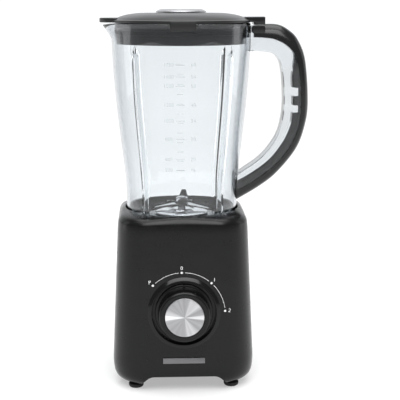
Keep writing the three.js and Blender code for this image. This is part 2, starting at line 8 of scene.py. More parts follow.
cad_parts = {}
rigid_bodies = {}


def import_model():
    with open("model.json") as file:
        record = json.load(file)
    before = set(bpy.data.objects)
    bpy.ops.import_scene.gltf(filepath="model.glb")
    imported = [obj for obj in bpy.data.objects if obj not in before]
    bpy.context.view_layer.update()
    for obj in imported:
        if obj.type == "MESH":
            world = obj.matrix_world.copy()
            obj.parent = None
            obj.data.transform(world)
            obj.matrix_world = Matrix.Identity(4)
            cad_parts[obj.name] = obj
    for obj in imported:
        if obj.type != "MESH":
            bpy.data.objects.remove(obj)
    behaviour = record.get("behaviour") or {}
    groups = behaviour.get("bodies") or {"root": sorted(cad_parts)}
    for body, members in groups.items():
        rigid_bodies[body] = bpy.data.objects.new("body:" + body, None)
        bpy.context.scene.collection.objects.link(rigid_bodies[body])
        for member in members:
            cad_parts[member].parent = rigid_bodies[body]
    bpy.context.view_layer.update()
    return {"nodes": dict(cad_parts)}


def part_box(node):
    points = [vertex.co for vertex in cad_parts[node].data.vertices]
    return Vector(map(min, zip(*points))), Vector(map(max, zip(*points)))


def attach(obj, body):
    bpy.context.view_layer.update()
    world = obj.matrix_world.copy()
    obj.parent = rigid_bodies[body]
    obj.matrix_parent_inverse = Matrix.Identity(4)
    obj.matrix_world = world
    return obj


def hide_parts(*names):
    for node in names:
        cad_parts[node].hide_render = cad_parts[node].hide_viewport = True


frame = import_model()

# ==== Base housing ==========================================================================
# The motor base's one-piece body, injection moulded in black ABS with a fine spark-eroded grain.
# Four walls taper up from corner legs to a round rim, and a deep well inside it takes the jug.
MM = 0.001
shaft_low, shaft_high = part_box("motor_shaft")
AXIS = Vector(((shaft_low.x + shaft_high.x) / 2, (shaft_low.y + shaft_high.y) / 2, 0))


def place(x, y, z):
    """Millimetres from the blade axis and the worktop, turned into the shared frame."""
    return AXIS + Vector((x, y, z)) * MM


def softened(corners, steps=4):
    """A profile with its corners eased; each corner is (radius, height, ease, anything else)."""
    rows = []
    count = len(corners)
    for i, corner in enumerate(corners):
        before, after = corners[i - 1], corners[(i + 1) % count]
        here = Vector(corner[:2])
        ease = corner[2]
        reach_in = min(ease, (Vector(before[:2]) - here).length * 0.48)
        reach_out = min(ease, (Vector(after[:2]) - here).length * 0.48)
        if ease == 0 or corner[0] == 0:
            rows.append((corner[0], corner[1], *corner[3:]))
            continue
        into = reach_in / (Vector(before[:2]) - here).length
        out = reach_out / (Vector(after[:2]) - here).length
        for step in range(steps + 1):
            t = step / steps
            row = []
            for k in (0, 1, *range(3, len(corner))):
                start = corner[k] + (before[k] - corner[k]) * into
                end = corner[k] + (after[k] - corner[k]) * out
                row.append((1 - t) ** 2 * start + 2 * t * (1 - t) * corner[k] + t * t * end)
            rows.append(tuple(row))
    return rows


def shade(mesh, sharp=38):
    """Smooth faces, with the edges that really are edges kept crisp."""
    mesh.polygons.foreach_set("use_smooth", [True] * len(mesh.polygons))
    mesh.set_sharp_from_angle(angle=math.radians(sharp))


def add_object(name, data):
    """A new object in the scene."""
    piece = bpy.data.objects.new(name, data)
    bpy.context.scene.collection.objects.link(piece)
    return piece


def paint(piece, material):
    """Leaves one finish on a piece."""
    piece.data.materials.clear()
    piece.data.materials.append(material)


def baked(piece):
    """A piece's mesh with its modifiers applied."""
    view = bpy.context.evaluated_depsgraph_get()
    return bpy.data.meshes.new_from_object(piece.evaluated_get(view))


def new_node(tree, kind, settings, values):
    """Adds a node to a tree; a value that is a socket is linked, and any other is set."""
    node = tree.nodes.new(kind)
    for key, value in settings.items():
        setattr(node, key, value)
    for key, value in values.items():
        if isinstance(value, bpy.types.NodeSocket):
            tree.links.new(value, node.inputs[key])
        else:
            node.inputs[key].default_value = value
    return node


def finish_mesh(name, mesh, material, sharp=38):
    """Merges doubles, closes poles, points the faces outwards and makes the object."""
    work = bmesh.new()
    work.from_mesh(mesh)
    bmesh.ops.remove_doubles(work, verts=work.verts, dist=1e-7)
    bmesh.ops.dissolve_degenerate(work, edges=work.edges, dist=1e-7)
    bmesh.ops.recalc_face_normals(work, faces=work.faces)
    if work.calc_volume(signed=True) < 0:
        bmesh.ops.reverse_faces(work, faces=work.faces)
    work.to_mesh(mesh)
    work.free()
    shade(mesh, sharp)
    mesh.materials.clear()
    if material:
        mesh.materials.append(material)
    return add_object(name, mesh)


def swept(name, rows, turns, point, material, sharp=38, closed_profile=True):
    """Skins rows of a closed profile over turns that close round; point(row, turn) is in mm."""
    corners = [place(*point(row, turn)) for turn in turns for row in rows]
    across = len(rows)
    faces = []
    last = across if closed_profile else across - 1
    for i in range(len(turns)):
        near, far = i * across, ((i + 1) % len(turns)) * across
        for j in range(last):
            k = (j + 1) % across
            faces.append((near + j, near + k, far + k, far + j))
    mesh = bpy.data.meshes.new(name)
    mesh.from_pydata(corners, [], faces)
    return finish_mesh(name, mesh, material, sharp)


def around(count):
    return [2 * math.pi * i / count for i in range(count)]


def turned(name, corners, material, sides=128, steps=4, axis=(0, 0)):
    """A lathe-turned piece from (radius, height, ease) corners."""
    rows = softened(corners, steps)
    closed = corners[0][0] > 0
    return swept(name, rows, around(sides),
                 lambda row, turn: (axis[0] + row[0] * math.cos(turn),
                                    axis[1] + row[0] * math.sin(turn), row[1]),
                 material, closed_profile=closed)


def carve(piece, tool, operation="DIFFERENCE"):
    """Cuts or joins a tool into a piece for good and throws the tool away."""
    step = piece.modifiers.new("carve", "BOOLEAN")
    step.object, step.operation, step.solver = tool, operation, "EXACT"
    mesh = baked(piece)
    piece.modifiers.clear()
    piece.data = mesh
    bpy.data.objects.remove(tool)
    shade(mesh)
    return piece


class Value:
    """A shader socket that takes part in arithmetic."""

    def __init__(self, finish, socket):
        self.finish, self.socket = finish, socket

    def _math(self, operation, first, second):
        return self.finish.node("ShaderNodeMath", {"operation": operation}, {0: first, 1: second})

    def __add__(self, other):
        return self._math("ADD", self, other)

    def __radd__(self, other):
        return self._math("ADD", other, self)

    def __sub__(self, other):
        return self._math("SUBTRACT", self, other)

    def __mul__(self, other):
        return self._math("MULTIPLY", self, other)

    def __rmul__(self, other):
        return self._math("MULTIPLY", other, self)


class Finish:
    """One procedural material, started from its steady shader settings."""

    def __init__(self, name, **steady):
        self.material = bpy.data.materials.new(name)
        self.material.use_nodes = True
        self.tree = self.material.node_tree
        self.shader = self.tree.nodes["Principled BSDF"]
        for socket, value in steady.items():
            self.shader.inputs[socket.replace("_", " ")].default_value = value
        self.spot = self.node("ShaderNodeTexCoord", {}, {}, "Object")

    def node(self, kind, settings, values, output=0):
        plain = {key: value.socket if isinstance(value, Value) else value for key, value in values.items()}
        return Value(self, new_node(self.tree, kind, settings, plain).outputs[output])

    def noise(self, scale, detail=2.0, stretch=None, rough=0.5):
        spot = self.spot
        if stretch:
            spot = self.node("ShaderNodeMapping", {}, {"Vector": spot, "Scale": stretch})
        return self.node("ShaderNodeTexNoise", {}, {
            "Vector": spot, "Scale": scale, "Detail": detail, "Roughness": rough}, "Fac")

    def blend(self, amount, first, second):
        """A colour between two colours."""
        values = {0: amount}
        for slot, colour in ((6, first), (7, second)):
            values[slot] = colour if isinstance(colour, Value) else (*colour, 1)
        return self.node("ShaderNodeMix", {"data_type": "RGBA"}, values, 2)

    def between(self, value, low, high):
        """0 below low, 1 above high, eased between."""
        return self.node("ShaderNodeMapRange", {"interpolation_type": "SMOOTHSTEP"}, {
            "Value": value, "From Min": low, "From Max": high})

    def part(self, vector, output):
        return self.node("ShaderNodeSeparateXYZ", {}, {0: vector}, output)

    def feed(self, **inputs):
        for socket, value in inputs.items():
            self.tree.links.new(value.socket, self.shader.inputs[socket.replace("_", " ")])

    def edge_on(self, blend):
        """0 where a wall faces the eye, 1 where it is seen edge on and so looks thickest."""
        return self.node("ShaderNodeLayerWeight", {}, {"Blend": blend}, "Facing")

    def bump(self, height, strength, distance):
        self.feed(Normal=self.node("ShaderNodeBump", {}, {
            "Strength": strength, "Distance": distance, "Height": height}))


def moulded(name, dark, light, roughness, grain=0.25, grain_size=2600, spread=0.08, **steady):
    """Moulded plastic: a fine grain, faint flow marks, and soft handling marks in its gloss."""
    skin = Finish(name, **steady)
    flow = skin.noise(9, 3, (1, 1, 0.35))
    rub = skin.noise(46, 4, (1, 1, 2.2), 0.62)
    skin.feed(Base_Color=skin.blend(flow * 0.6 + rub * 0.4, dark, light),
              Roughness=roughness - spread / 2 + spread * skin.between(rub, 0.3, 0.7))
    skin.bump(skin.noise(grain_size, 1) + 0.35 * flow, grain, 0.00006)
    return skin.material


HOUSING_WIDE, HOUSING_WIDE_Z = 71.1, 25
HOUSING_NARROW, HOUSING_NARROW_Z = 65.0, 161
TAPER = math.atan((HOUSING_WIDE - HOUSING_NARROW) / (HOUSING_NARROW_Z - HOUSING_WIDE_Z))
CORNER = 0.5
WALL = 2.6
WELL_RADIUS, WELL_FLOOR, WELL_HOLE = 57.0, 147.5, 7


def square_reach(angle):
    """How much farther than its flats a rounded square of half width 1 reaches."""
    turn = angle % (math.pi / 2)
    off = min(turn, math.pi / 2 - turn)
    straight = 1 - CORNER
    if math.tan(off) <= straight:
        return 1 / math.cos(off)
    along = straight * (math.cos(off) + math.sin(off))
    return along + math.sqrt(along ** 2 - 2 * straight ** 2 + CORNER ** 2)


def face_at(z):
    return HOUSING_WIDE - (z - HOUSING_WIDE_Z) * math.tan(TAPER)


def on_face(z):
    """The frame of the sloping front wall at a height: X right, Y up the wall, Z outwards."""
    return Matrix.Translation(place(0, -face_at(z), z)) @ Matrix.Rotation(math.pi / 2 - TAPER, 4, "X")


def prism(name, outline, low, high, material=None, ease=0.0, frame_of=None, steps=3):
    """An outline in mm raised from low to high along its own Z, with its edges eased."""
    work = bmesh.new()
    floor = [work.verts.new((x * MM, y * MM, low * MM)) for x, y in outline]
    face = work.faces.new(floor)
    raised = bmesh.ops.extrude_face_region(work, geom=[face])["geom"]
    for vert in (item for item in raised if isinstance(item, bmesh.types.BMVert)):
        vert.co.z = high * MM
    bmesh.ops.recalc_face_normals(work, faces=work.faces)
    if ease:
        edges = [edge for edge in work.edges if edge.calc_face_angle(0) > math.radians(25)]
        bmesh.ops.bevel(work, geom=edges, offset=ease * MM, segments=steps, profile=0.5, affect="EDGES")
    mesh = bpy.data.meshes.new(name)
    work.to_mesh(mesh)
    work.free()
    mesh.transform(frame_of if frame_of is not None else Matrix.Translation(AXIS))
    return finish_mesh(name, mesh, material)


ON_EDGE = Matrix.Rotation(math.pi / 2, 4, "X")
SIDEWAYS = Matrix.Translation(AXIS) @ ON_EDGE     # outlines in XZ
ENDWAYS = Matrix.Translation(AXIS) @ Matrix.Rotation(math.pi / 2, 4, "Z") @ ON_EDGE     # outlines in YZ


def disc(radius, sides=96):
    return [(radius * math.cos(turn), radius * math.sin(turn)) for turn in around(sides)]


def arc_band(inner, outer, half_width, facing, steps=12):
    """The plan of a curved tab: a strip of a ring centred on a direction."""
    spread = math.asin(half_width / outer)
    angles = [facing - spread + 2 * spread * i / steps for i in range(steps + 1)]
    return ([(outer * math.cos(a), outer * math.sin(a)) for a in angles]
            + [(inner * math.cos(a), inner * math.sin(a)) for a in reversed(angles)])


satin_black = moulded("satin_black_abs", (0.0022, 0.0022, 0.0024), (0.004, 0.004, 0.0043), 0.24, 0.18, 2400,
                      Specular_IOR_Level=0.27)

housing_rows = softened([
    (50, 4, 0.5, 1), (55.5, 4, 3, 1), (64, 5.9, 5, 1), (69.6, 12, 6, 1),
    (HOUSING_WIDE, HOUSING_WIDE_Z, 6, 1), (68.1, 93, 20, 1), (65, 162, 5, 1),
    (64.2, 169.2, 2.4, 1), (62, 173.5, 1.7, 0.88), (60.2, 175.6, 1.2, 0.45),
    (58.4, 176.3, 0.7, 0), (57.6, 175.8, 0.3, 0), (WELL_RADIUS, WELL_FLOOR, 1.6, 0),
    (WELL_HOLE, WELL_FLOOR, 0.5, 0), (WELL_HOLE, WELL_FLOOR - WALL, 0, 0), (58.6, WELL_FLOOR - WALL, 0, 0),
    (59.2, 166, 0, 0.2), (62.4, 159, 0, 1), (68.5, 23.9, 0, 1), (44, 23.9, 0, 1), (44, 21.3, 0, 1),
    (50, 21.3, 0, 1),
], 8)


def housing_point(row, turn):
    reach = row[0] * (1 + row[2] * (square_reach(turn) - 1))
    return reach * math.cos(turn), reach * math.sin(turn), row[1]


housing = swept("base_housing_shell", housing_rows, around(192), housing_point, satin_black)


def rounded_path(points, ease, steps=5):
    """An outline in mm with every corner eased by the same reach."""
    return [row[:2] for row in softened([(x, y, ease) for x, y in points], steps)]


arch = rounded_path([(-52, -6), (52, -6), (42, 7.5), (34.5, 16), (-34.5, 16), (-42, 7.5)], 5)
for turned_by in (SIDEWAYS, ENDWAYS):
    carve(housing, prism("arch_tool", arch, -95, 95, frame_of=turned_by))

DIAL_Z, DIAL_RECESS, DIAL_DEPTH = 81.4, 31.2, 3.4
SHAFT_HOLE, INLET_HOLE, PIN_HOLE = 3.4, 6.1, 3
seat_ring = prism("dial_seat", disc(DIAL_RECESS + 2.4), -DIAL_DEPTH - 1.6, -0.7, frame_of=on_face(DIAL_Z))
carve(housing, seat_ring, "UNION")
carve(housing, prism("dial_tool", disc(DIAL_RECESS), -DIAL_DEPTH, 9, frame_of=on_face(DIAL_Z)))
carve(housing, prism("shaft_tool", disc(SHAFT_HOLE, 32), -9, 9, frame_of=on_face(DIAL_Z)))
INLET_Z = 34
INLET = Matrix.Translation(place(0, face_at(INLET_Z) + 0.4, INLET_Z)) @ ON_EDGE.inverted()
carve(housing, prism("inlet_tool", disc(INLET_HOLE, 48), -12, 12, frame_of=INLET))
PIN_BACK = 49
carve(housing, prism("pin_tool", [(x, y + PIN_BACK) for x, y in disc(PIN_HOLE, 32)], 140, 152))
NOTCH_FACING = math.radians(-31)
carve(housing, prism("lock_notch_tool", arc_band(55, 60.2, 6, NOTCH_FACING), 170.5, 180))
paint(housing, satin_black)
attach(housing, "base")
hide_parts("base_housing")

# ==== Bottom plate ==========================================================================
# A flat cover moulded in the same black ABS, with slots that let the fan draw its air in.
# It is screwed up against the housing's inner ledge.
def dress(node, material):
    """Gives a carried-over CAD node its finish."""
    paint(frame["nodes"][node], material)


dress("bottom_plate", moulded("plate_abs", (0.012, 0.012, 0.012), (0.018, 0.018, 0.018), 0.5, 0.35, 1800))

# ==== Feet ==================================================================================
# Four soft rubber feet with a shallow ringed tread, pressed into the corner legs.
class Graph:
    """A Geometry Nodes tree with named inputs, built a node at a time."""

    def __init__(self, name, **inputs):
        self.tree = bpy.data.node_groups.new(name, "GeometryNodeTree")
        self.tree.interface.new_socket("Geometry", in_out="INPUT", socket_type="NodeSocketGeometry")
        self.tree.interface.new_socket("Geometry", in_out="OUTPUT", socket_type="NodeSocketGeometry")
        self.ids = {}
        for label, kind in inputs.items():
            item = self.tree.interface.new_socket(label, in_out="INPUT", socket_type="NodeSocket" + kind)
            self.ids[label] = item.identifier
        self.inputs = self.tree.nodes.new("NodeGroupInput").outputs
        self.end = self.tree.nodes.new("NodeGroupOutput")

    def node(self, kind, settings, values):
        return new_node(self.tree, kind, settings, values).outputs[0]

    def finish(self, geometry):
        """Realizes the copies, gives them their material and closes the tree."""
        real = self.node("GeometryNodeRealizeInstances", {}, {"Geometry": geometry})
        painted = self.node("GeometryNodeSetMaterial", {}, {
            "Geometry": real, "Material": self.inputs["Material"]})
        self.tree.links.new(painted, self.end.inputs[0])

    def grow(self, piece, **values):
        """Runs the tree on a piece and leaves a plain mesh."""
        step = piece.modifiers.new("grow", "NODES")
        step.node_group = self.tree
        for label, value in values.items():
            step[self.ids[label]] = value
        mesh = baked(piece)
        piece.modifiers.clear()
        piece.data = mesh
        shade(mesh)
        return piece


def grid_tree(name):
    """Copies the incoming piece to the corners of a rectangle round the blade axis."""
    graph = Graph(name, Across="Float", Deep="Float", Centre="Vector", Material="Material")
    corners = graph.node("GeometryNodeMeshGrid", {}, {
        "Size X": graph.inputs["Across"], "Size Y": graph.inputs["Deep"], "Vertices X": 2, "Vertices Y": 2})
    moved = graph.node("GeometryNodeTransform", {}, {
        "Geometry": corners, "Translation": graph.inputs["Centre"]})
    copies = graph.node("GeometryNodeInstanceOnPoints", {}, {
        "Points": moved, "Instance": graph.inputs["Geometry"]})
    graph.finish(copies)
    return graph


def at_origin(piece):
    """Moves a piece built on the blade axis to the frame's own origin, ready to be copied out."""
    piece.data.transform(Matrix.Translation(-AXIS))
    return piece


foot_rubber = Finish("foot_rubber", Roughness=0.8, Specular_IOR_Level=0.3)
scuff = foot_rubber.noise(160, 4, None, 0.6)
foot_rubber.feed(Base_Color=foot_rubber.blend(scuff, (0.012, 0.012, 0.012), (0.03, 0.029, 0.028)),
                 Roughness=0.66 + 0.24 * scuff)
foot_rubber.bump(foot_rubber.noise(1500, 2), 0.4, 0.0001)

CORNERS = ("front_left", "front_right", "back_left", "back_right")
FOOT_X, FOOT_Y, FOOT_RADIUS = 48, 50, 7.5
corner_grid = grid_tree("corner_grid")
feet = at_origin(turned("feet", [
    (0, 0.5, 0), (2.2, 0.5, 0.3), (2.6, 0, 0.2), (4.2, 0, 0.2), (4.5, 0.5, 0.2), (4.9, 0, 0.2),
    (6.3, 0, 0.9), (FOOT_RADIUS, 1.5, 0.9), (FOOT_RADIUS, 3.8, 0.2), (0, 3.8, 0)],
    foot_rubber.material, 48, 2))
corner_grid.grow(feet, Across=2 * FOOT_X * MM, Deep=2 * FOOT_Y * MM, Centre=AXIS,
                 Material=foot_rubber.material)
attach(feet, "base")
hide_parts(*(f"foot_{corner}" for corner in CORNERS))

# ==== Bottom screws =========================================================================
# Four zinc-plated pan-head screws with a cross recess, driven up through the bottom plate.
def metal(name, dark, light, roughness, scale=600, stretch=(1, 1, 1), bump=0.15, **steady):
    """Bare or plated metal with fine working marks and a slightly uneven shine."""
    skin = Finish(name, Metallic=1.0, **steady)
    marks = skin.noise(scale, 3, stretch, 0.6)
    cloud = skin.noise(38, 2)
    skin.feed(Base_Color=skin.blend(marks * 0.5 + cloud * 0.5, dark, light),
              Roughness=roughness * 0.75 + roughness * 0.5 * marks)
    skin.bump(marks, bump, 0.00003)
    return skin.material


def oblong(left, low, right, high):
    """The four corners of a plain rectangle."""
    return [(left, low), (right, low), (right, high), (left, high)]


zinc = metal("zinc_plate", (0.42, 0.43, 0.45), (0.62, 0.62, 0.6), 0.32)
screws = at_origin(turned("bottom_screws", [
    (0, 15.75, 0), (2.5, 15.75, 0.9), (3.5, 17, 0.5), (3.5, 17.7, 0.2), (1.7, 17.7, 0.1), (1.7, 33.6, 0.2),
    (0, 35.6, 0)], zinc, 40, 3))
for across, deep in ((2.1, 0.36), (0.36, 2.1)):
    carve(screws, at_origin(prism("slot_tool", oblong(-across, -deep, across, deep), 14, 16.9)))
SCREW_AT = 38
corner_grid.grow(screws, Across=2 * SCREW_AT * MM, Deep=2 * SCREW_AT * MM, Centre=AXIS, Material=zinc)
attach(screws, "base")
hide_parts(*(f"bottom_screw_{corner}" for corner in CORNERS))

# ==== Cord grommet ==========================================================================
# A soft black grommet snapped into the back wall, with three stiffening collars.
def spin_on(frame_of, piece):
    """Carries a piece built on the blade axis onto another frame."""
    piece.data.transform(frame_of @ Matrix.Translation(-AXIS))
    return piece


inlet = spin_on(INLET, turned("cord_grommet", [
    (0, -8, 0), (5.6, -8, 0.6), (5.6, 0.3, 0.1), (8, 0.3, 0.3), (8, 2.2, 0.8), (6, 2.6, 0.3),
    (6, 3.4, 0.2), (5.3, 3.5, 0.1), (5.3, 4, 0.1), (5.6, 4.1, 0.2), (5.5, 5, 0.5), (3.4, 5, 0.4),
    (3.4, -5, 0.2), (0, -5, 0)],
    foot_rubber.material, 64, 3))
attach(inlet, "base")
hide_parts("cord_inlet")

# ==== Dial bezel ============================================================================
# A thin ring moulded in gloss black, stuck to the front wall round the dial's recess.
gloss_black = moulded("gloss_black_abs", (0.002, 0.002, 0.0022), (0.0035, 0.0035, 0.0038), 0.13,
                      0.06, 700, 0.05, Specular_IOR_Level=0.3)
bezel = spin_on(on_face(DIAL_Z), turned("dial_bezel_ring", [
    (DIAL_RECESS + 0.3, 0.3, 0.1), (36, 0.3, 0.1), (36, 0.6, 0.2), (32.4, 2.5, 0.8),
    (DIAL_RECESS + 0.3, 2.2, 0.3)],
    gloss_black, 160))
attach(bezel, "base")
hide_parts("dial_bezel")

# ==== Dial print ============================================================================
# The speed scale, pad-printed in white on the front wall: four dots, the arcs between them and
# the four settings, pulse, off, one and two.
print_white = Finish("printed_white", Specular_IOR_Level=0.4)
ink = print_white.noise(900, 2)
print_white.feed(Base_Color=print_white.blend(ink, (0.7, 0.7, 0.7), (0.85, 0.85, 0.85)),
                 Roughness=0.45 + 0.2 * ink)

SCALE_RADIUS = 41.2
SCALE_SHIFT = Vector((-0.8, -0.8, 0.09)) * MM
STRIP_GAP, STRIP_WIDTH = 4.5, 0.42
LETTER_RADIUS, LETTER_SIZE, LETTER_LEAN = 45.6, 5.1, 0.15
PRINT_THICK = 0.16
DOT_RADIUS = 1.15
SETTINGS = (("P", 136), ("0", 91.8), ("1", 47.7), ("2", 3.5))


def arc_tree():
    """A flat strip swept along part of a circle, in the dial's own plane."""
    graph = Graph("scale_arc", Radius="Float", Start="Float", Sweep="Float", Width="Float",
                  Material="Material")
    arc = graph.node("GeometryNodeCurveArc", {"mode": "RADIUS"}, {
        "Radius": graph.inputs["Radius"], "Start Angle": graph.inputs["Start"],
        "Sweep Angle": graph.inputs["Sweep"], "Resolution": 24})
    section = graph.node("GeometryNodeCurvePrimitiveQuadrilateral", {}, {
        "Width": graph.inputs["Width"], "Height": PRINT_THICK * MM})
    strip = graph.node("GeometryNodeCurveToMesh", {}, {
        "Curve": arc, "Profile Curve": section, "Fill Caps": True})
    graph.finish(strip)
    return graph


def dot_tree():
    """Copies the incoming dot to the settings, spaced by equal angles round the dial."""
    graph = Graph("scale_dots", Radius="Float", Start="Float", Sweep="Float", Count="Int",
                  Material="Material")
    arc = graph.node("GeometryNodeCurveArc", {"mode": "RADIUS"}, {
        "Radius": graph.inputs["Radius"], "Start Angle": graph.inputs["Start"],
        "Sweep Angle": graph.inputs["Sweep"], "Resolution": 97})
    spaced = graph.node("GeometryNodeResampleCurve", {"mode": "COUNT"}, {
        "Curve": arc, "Count": graph.inputs["Count"]})
    copies = graph.node("GeometryNodeInstanceOnPoints", {}, {
        "Points": spaced, "Instance": graph.inputs["Geometry"]})
    graph.finish(copies)
    return graph


def lettering(name, text, size, thick):
    """Raised lettering in its own plane, centred, as a plain mesh in metres."""
    curve = bpy.data.curves.new(name, "FONT")
    curve.body, curve.size, curve.extrude = text, size * MM, thick * MM / 2
    curve.align_x, curve.align_y = "CENTER", "CENTER"
    curve.resolution_u = 3
    holder = add_object(name, curve)
    mesh = baked(holder)
    bpy.data.objects.remove(holder)
    return mesh


def gather(name, meshes, material):
    """Several meshes as one piece."""
    whole = bmesh.new()
    for mesh in meshes:
        whole.from_mesh(mesh)
    mesh = bpy.data.meshes.new(name)
    whole.to_mesh(mesh)
    whole.free()
    shade(mesh)
    piece = add_object(name, mesh)
    paint(piece, material)
    return piece


scale_parts = []
strip_tree = arc_tree()
for upper, lower in zip(SETTINGS, SETTINGS[1:]):
    strip = add_object("scale_strip", bpy.data.meshes.new("scale_strip"))
    strip_tree.grow(strip, Radius=SCALE_RADIUS * MM, Start=math.radians(lower[1] + STRIP_GAP),
                    Sweep=math.radians(upper[1] - lower[1] - 2 * STRIP_GAP),
                    Width=STRIP_WIDTH * MM, Material=print_white.material)
    scale_parts.append(strip)
dot = at_origin(prism("scale_dot", disc(DOT_RADIUS, 20), -PRINT_THICK / 2, PRINT_THICK / 2,
                      print_white.material))
first_setting, last_setting = math.radians(SETTINGS[-1][1]), math.radians(SETTINGS[0][1])
dots = dot_tree().grow(dot, Radius=SCALE_RADIUS * MM, Start=first_setting,
                       Sweep=last_setting - first_setting, Count=len(SETTINGS),
                       Material=print_white.material)
scale_parts.append(dots)
scale_meshes = [part.data for part in scale_parts]
for label, angle in SETTINGS:
    letter = lettering("setting_" + label, label, LETTER_SIZE, PRINT_THICK)
    spot = Matrix.Rotation(math.radians(angle), 4, "Z") @ Vector((LETTER_RADIUS * MM, 0, 0))
    lean = Matrix.Rotation(math.radians(angle - 90) * LETTER_LEAN, 4, "Z")
    letter.transform(Matrix.Translation(spot) @ lean)
    scale_meshes.append(letter)
dial_print = gather("dial_print", scale_meshes, print_white.material)
dial_print.data.transform(on_face(DIAL_Z) @ Matrix.Translation(SCALE_SHIFT))
for part in scale_parts:
    bpy.data.objects.remove(part)
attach(dial_print, "base")

# ==== Badge plate ===========================================================================
# A small plate of brushed aluminium stuck to the front wall under the dial. It is left blank.
badge_metal = metal("brushed_badge", (0.15, 0.15, 0.155), (0.23, 0.23, 0.235), 0.42, 900, (0.03, 1, 1), 0.3)
BADGE_Z = 33.3
badge = prism("badge", rounded_path(oblong(-21, -2.8, 20.4, 2.8), 0.4, 3), 0.3, 1.3,
              badge_metal, 0.2, on_face(BADGE_Z), 2)
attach(badge, "base")
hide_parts("badge_plate")

# ==== Speed knob ============================================================================
# A hollow knob in satin black with a wide flange, pushed onto the switch shaft. A small nib on
# the flange points at the setting.
DIAL_FLANGE, DIAL_BODY, DIAL_DISC, DIAL_PROUD = 28.5, 25.0, 19.0, 18.5
knob_seat = -DIAL_DEPTH + 0.4
knob_black = moulded("knob_black", (0.003, 0.003, 0.0033), (0.005, 0.005, 0.0054), 0.24, 0.1, 1500, 0.06,
                     Specular_IOR_Level=0.26)
knob = turned("speed_knob", [
    (0, knob_seat, 0), (DIAL_FLANGE, knob_seat, 0.3), (DIAL_FLANGE, knob_seat + 3.1, 0.9),
    (DIAL_BODY + 0.5, knob_seat + 3.5, 0.6), (DIAL_BODY, DIAL_PROUD, 3.4),
    (DIAL_DISC + 0.4, DIAL_PROUD, 0.4), (DIAL_DISC + 0.4, DIAL_PROUD - 1.7, 0.2),
    (0, DIAL_PROUD - 1.7, 0)], knob_black, 160, 8)
nib = prism("knob_nib", oblong(-1.2, DIAL_BODY - 1, 1.2, DIAL_FLANGE - 0.3),
            knob_seat + 2, knob_seat + 4.6, knob_black, 0.4)
spin_on(on_face(DIAL_Z), carve(knob, nib, "UNION"))
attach(knob, "knob")
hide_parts("knob")

# ==== Knob disc =============================================================================
# A spun aluminium disc glued into the knob's face. Its fine turning rings are a bump, and its colour
# carries painted highlights: wedges of light that widen from its middle.
def spun_metal(name, frame_of):
    """Aluminium with concentric turning rings round a piece's own axis, and painted highlight wedges in its
    colour.
    """
    skin = Finish(name, Metallic=1.0)
    local = frame_of.inverted()
    turn = local.to_euler("XYZ")
    offset = local.to_translation()
    spot = skin.node("ShaderNodeMapping", {}, {"Vector": skin.spot, "Location": offset, "Rotation": turn})
    across, up = skin.part(spot, 0), skin.part(spot, 1)
    flat = skin.node("ShaderNodeCombineXYZ", {}, {0: across, 1: up})
    reach = skin.node("ShaderNodeVectorMath", {"operation": "LENGTH"}, {0: flat}, "Value")
    rings = skin.node("ShaderNodeTexNoise", {"noise_dimensions": "1D"}, {
        "W": reach * 5200, "Detail": 2.0}, "Fac")
    angle = skin.node("ShaderNodeMath", {"operation": "ARCTAN2"}, {0: up, 1: across})
    # From here the colour carries painted highlights: streaks along the angle, bright wedges to the left
    # and right, and bright sectors above.
    fan = skin.node("ShaderNodeCombineXYZ", {}, {0: angle * 2.2, 1: 0.7})
    painted_spoke_glint = skin.node("ShaderNodeTexNoise", {"noise_dimensions": "2D"}, {
        "Vector": fan, "Scale": 1.6, "Detail": 3.0}, "Fac")
    cosine = skin.node("ShaderNodeMath", {"operation": "COSINE"}, {0: angle})
    side = skin.node("ShaderNodeMath", {"operation": "ABSOLUTE"}, {0: cosine})
    painted_wedge_glint = skin.between(side, 0.985, 0.998)
    sine = skin.node("ShaderNodeMath", {"operation": "SINE"}, {0: angle * 3 - 1.2})
    painted_sector_glint = skin.between(sine, 0.1, 0.9)
    painted_glint = 0.42 * painted_spoke_glint + 0.3 * painted_sector_glint + 0.6 * painted_wedge_glint
    skin.feed(Base_Color=skin.blend(painted_glint, (0.24, 0.24, 0.25), (0.86, 0.86, 0.87)),
              Roughness=0.26 + 0.12 * rings)
    skin.bump(rings, 0.5, 0.00005)
    return skin.material


spun = spun_metal("spun_aluminium", on_face(DIAL_Z))
knob_disc = spin_on(on_face(DIAL_Z), turned("knob_face_disc", [
    (0, DIAL_PROUD - 1.5, 0), (DIAL_DISC, DIAL_PROUD - 1.5, 0.1), (DIAL_DISC, DIAL_PROUD + 0.5, 0.5),
    (DIAL_DISC - 1.2, DIAL_PROUD + 0.6, 0.4), (0, DIAL_PROUD + 0.3, 0)], spun, 160, 5))
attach(knob_disc, "knob")
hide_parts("knob_disc")

# ==== Motor and switches ====================================================================
# A universal motor hung on rubber mounts under the well, with its switches beside it: stacked
# iron laminations, enamelled windings, steel shaft and bearings, and pale nylon mouldings.
def banded(name, dark, light, pitch, roughness, **steady):
    """Stacked sheets or wound wire: fine bands across the piece's height."""
    skin = Finish(name, **steady)
    height = skin.part(skin.spot, 2)
    band = skin.node("ShaderNodeMath", {"operation": "PINGPONG"}, {0: height, 1: pitch * MM})
    ridge = skin.between(band, 0.15 * pitch * MM, 0.6 * pitch * MM)
    wear = skin.noise(120, 3)
    skin.feed(Base_Color=skin.blend(ridge * 0.7 + wear * 0.3, dark, light),
              Roughness=roughness + 0.2 * wear)
    skin.bump(ridge, 0.5, pitch * MM * 0.3)
    return skin.material


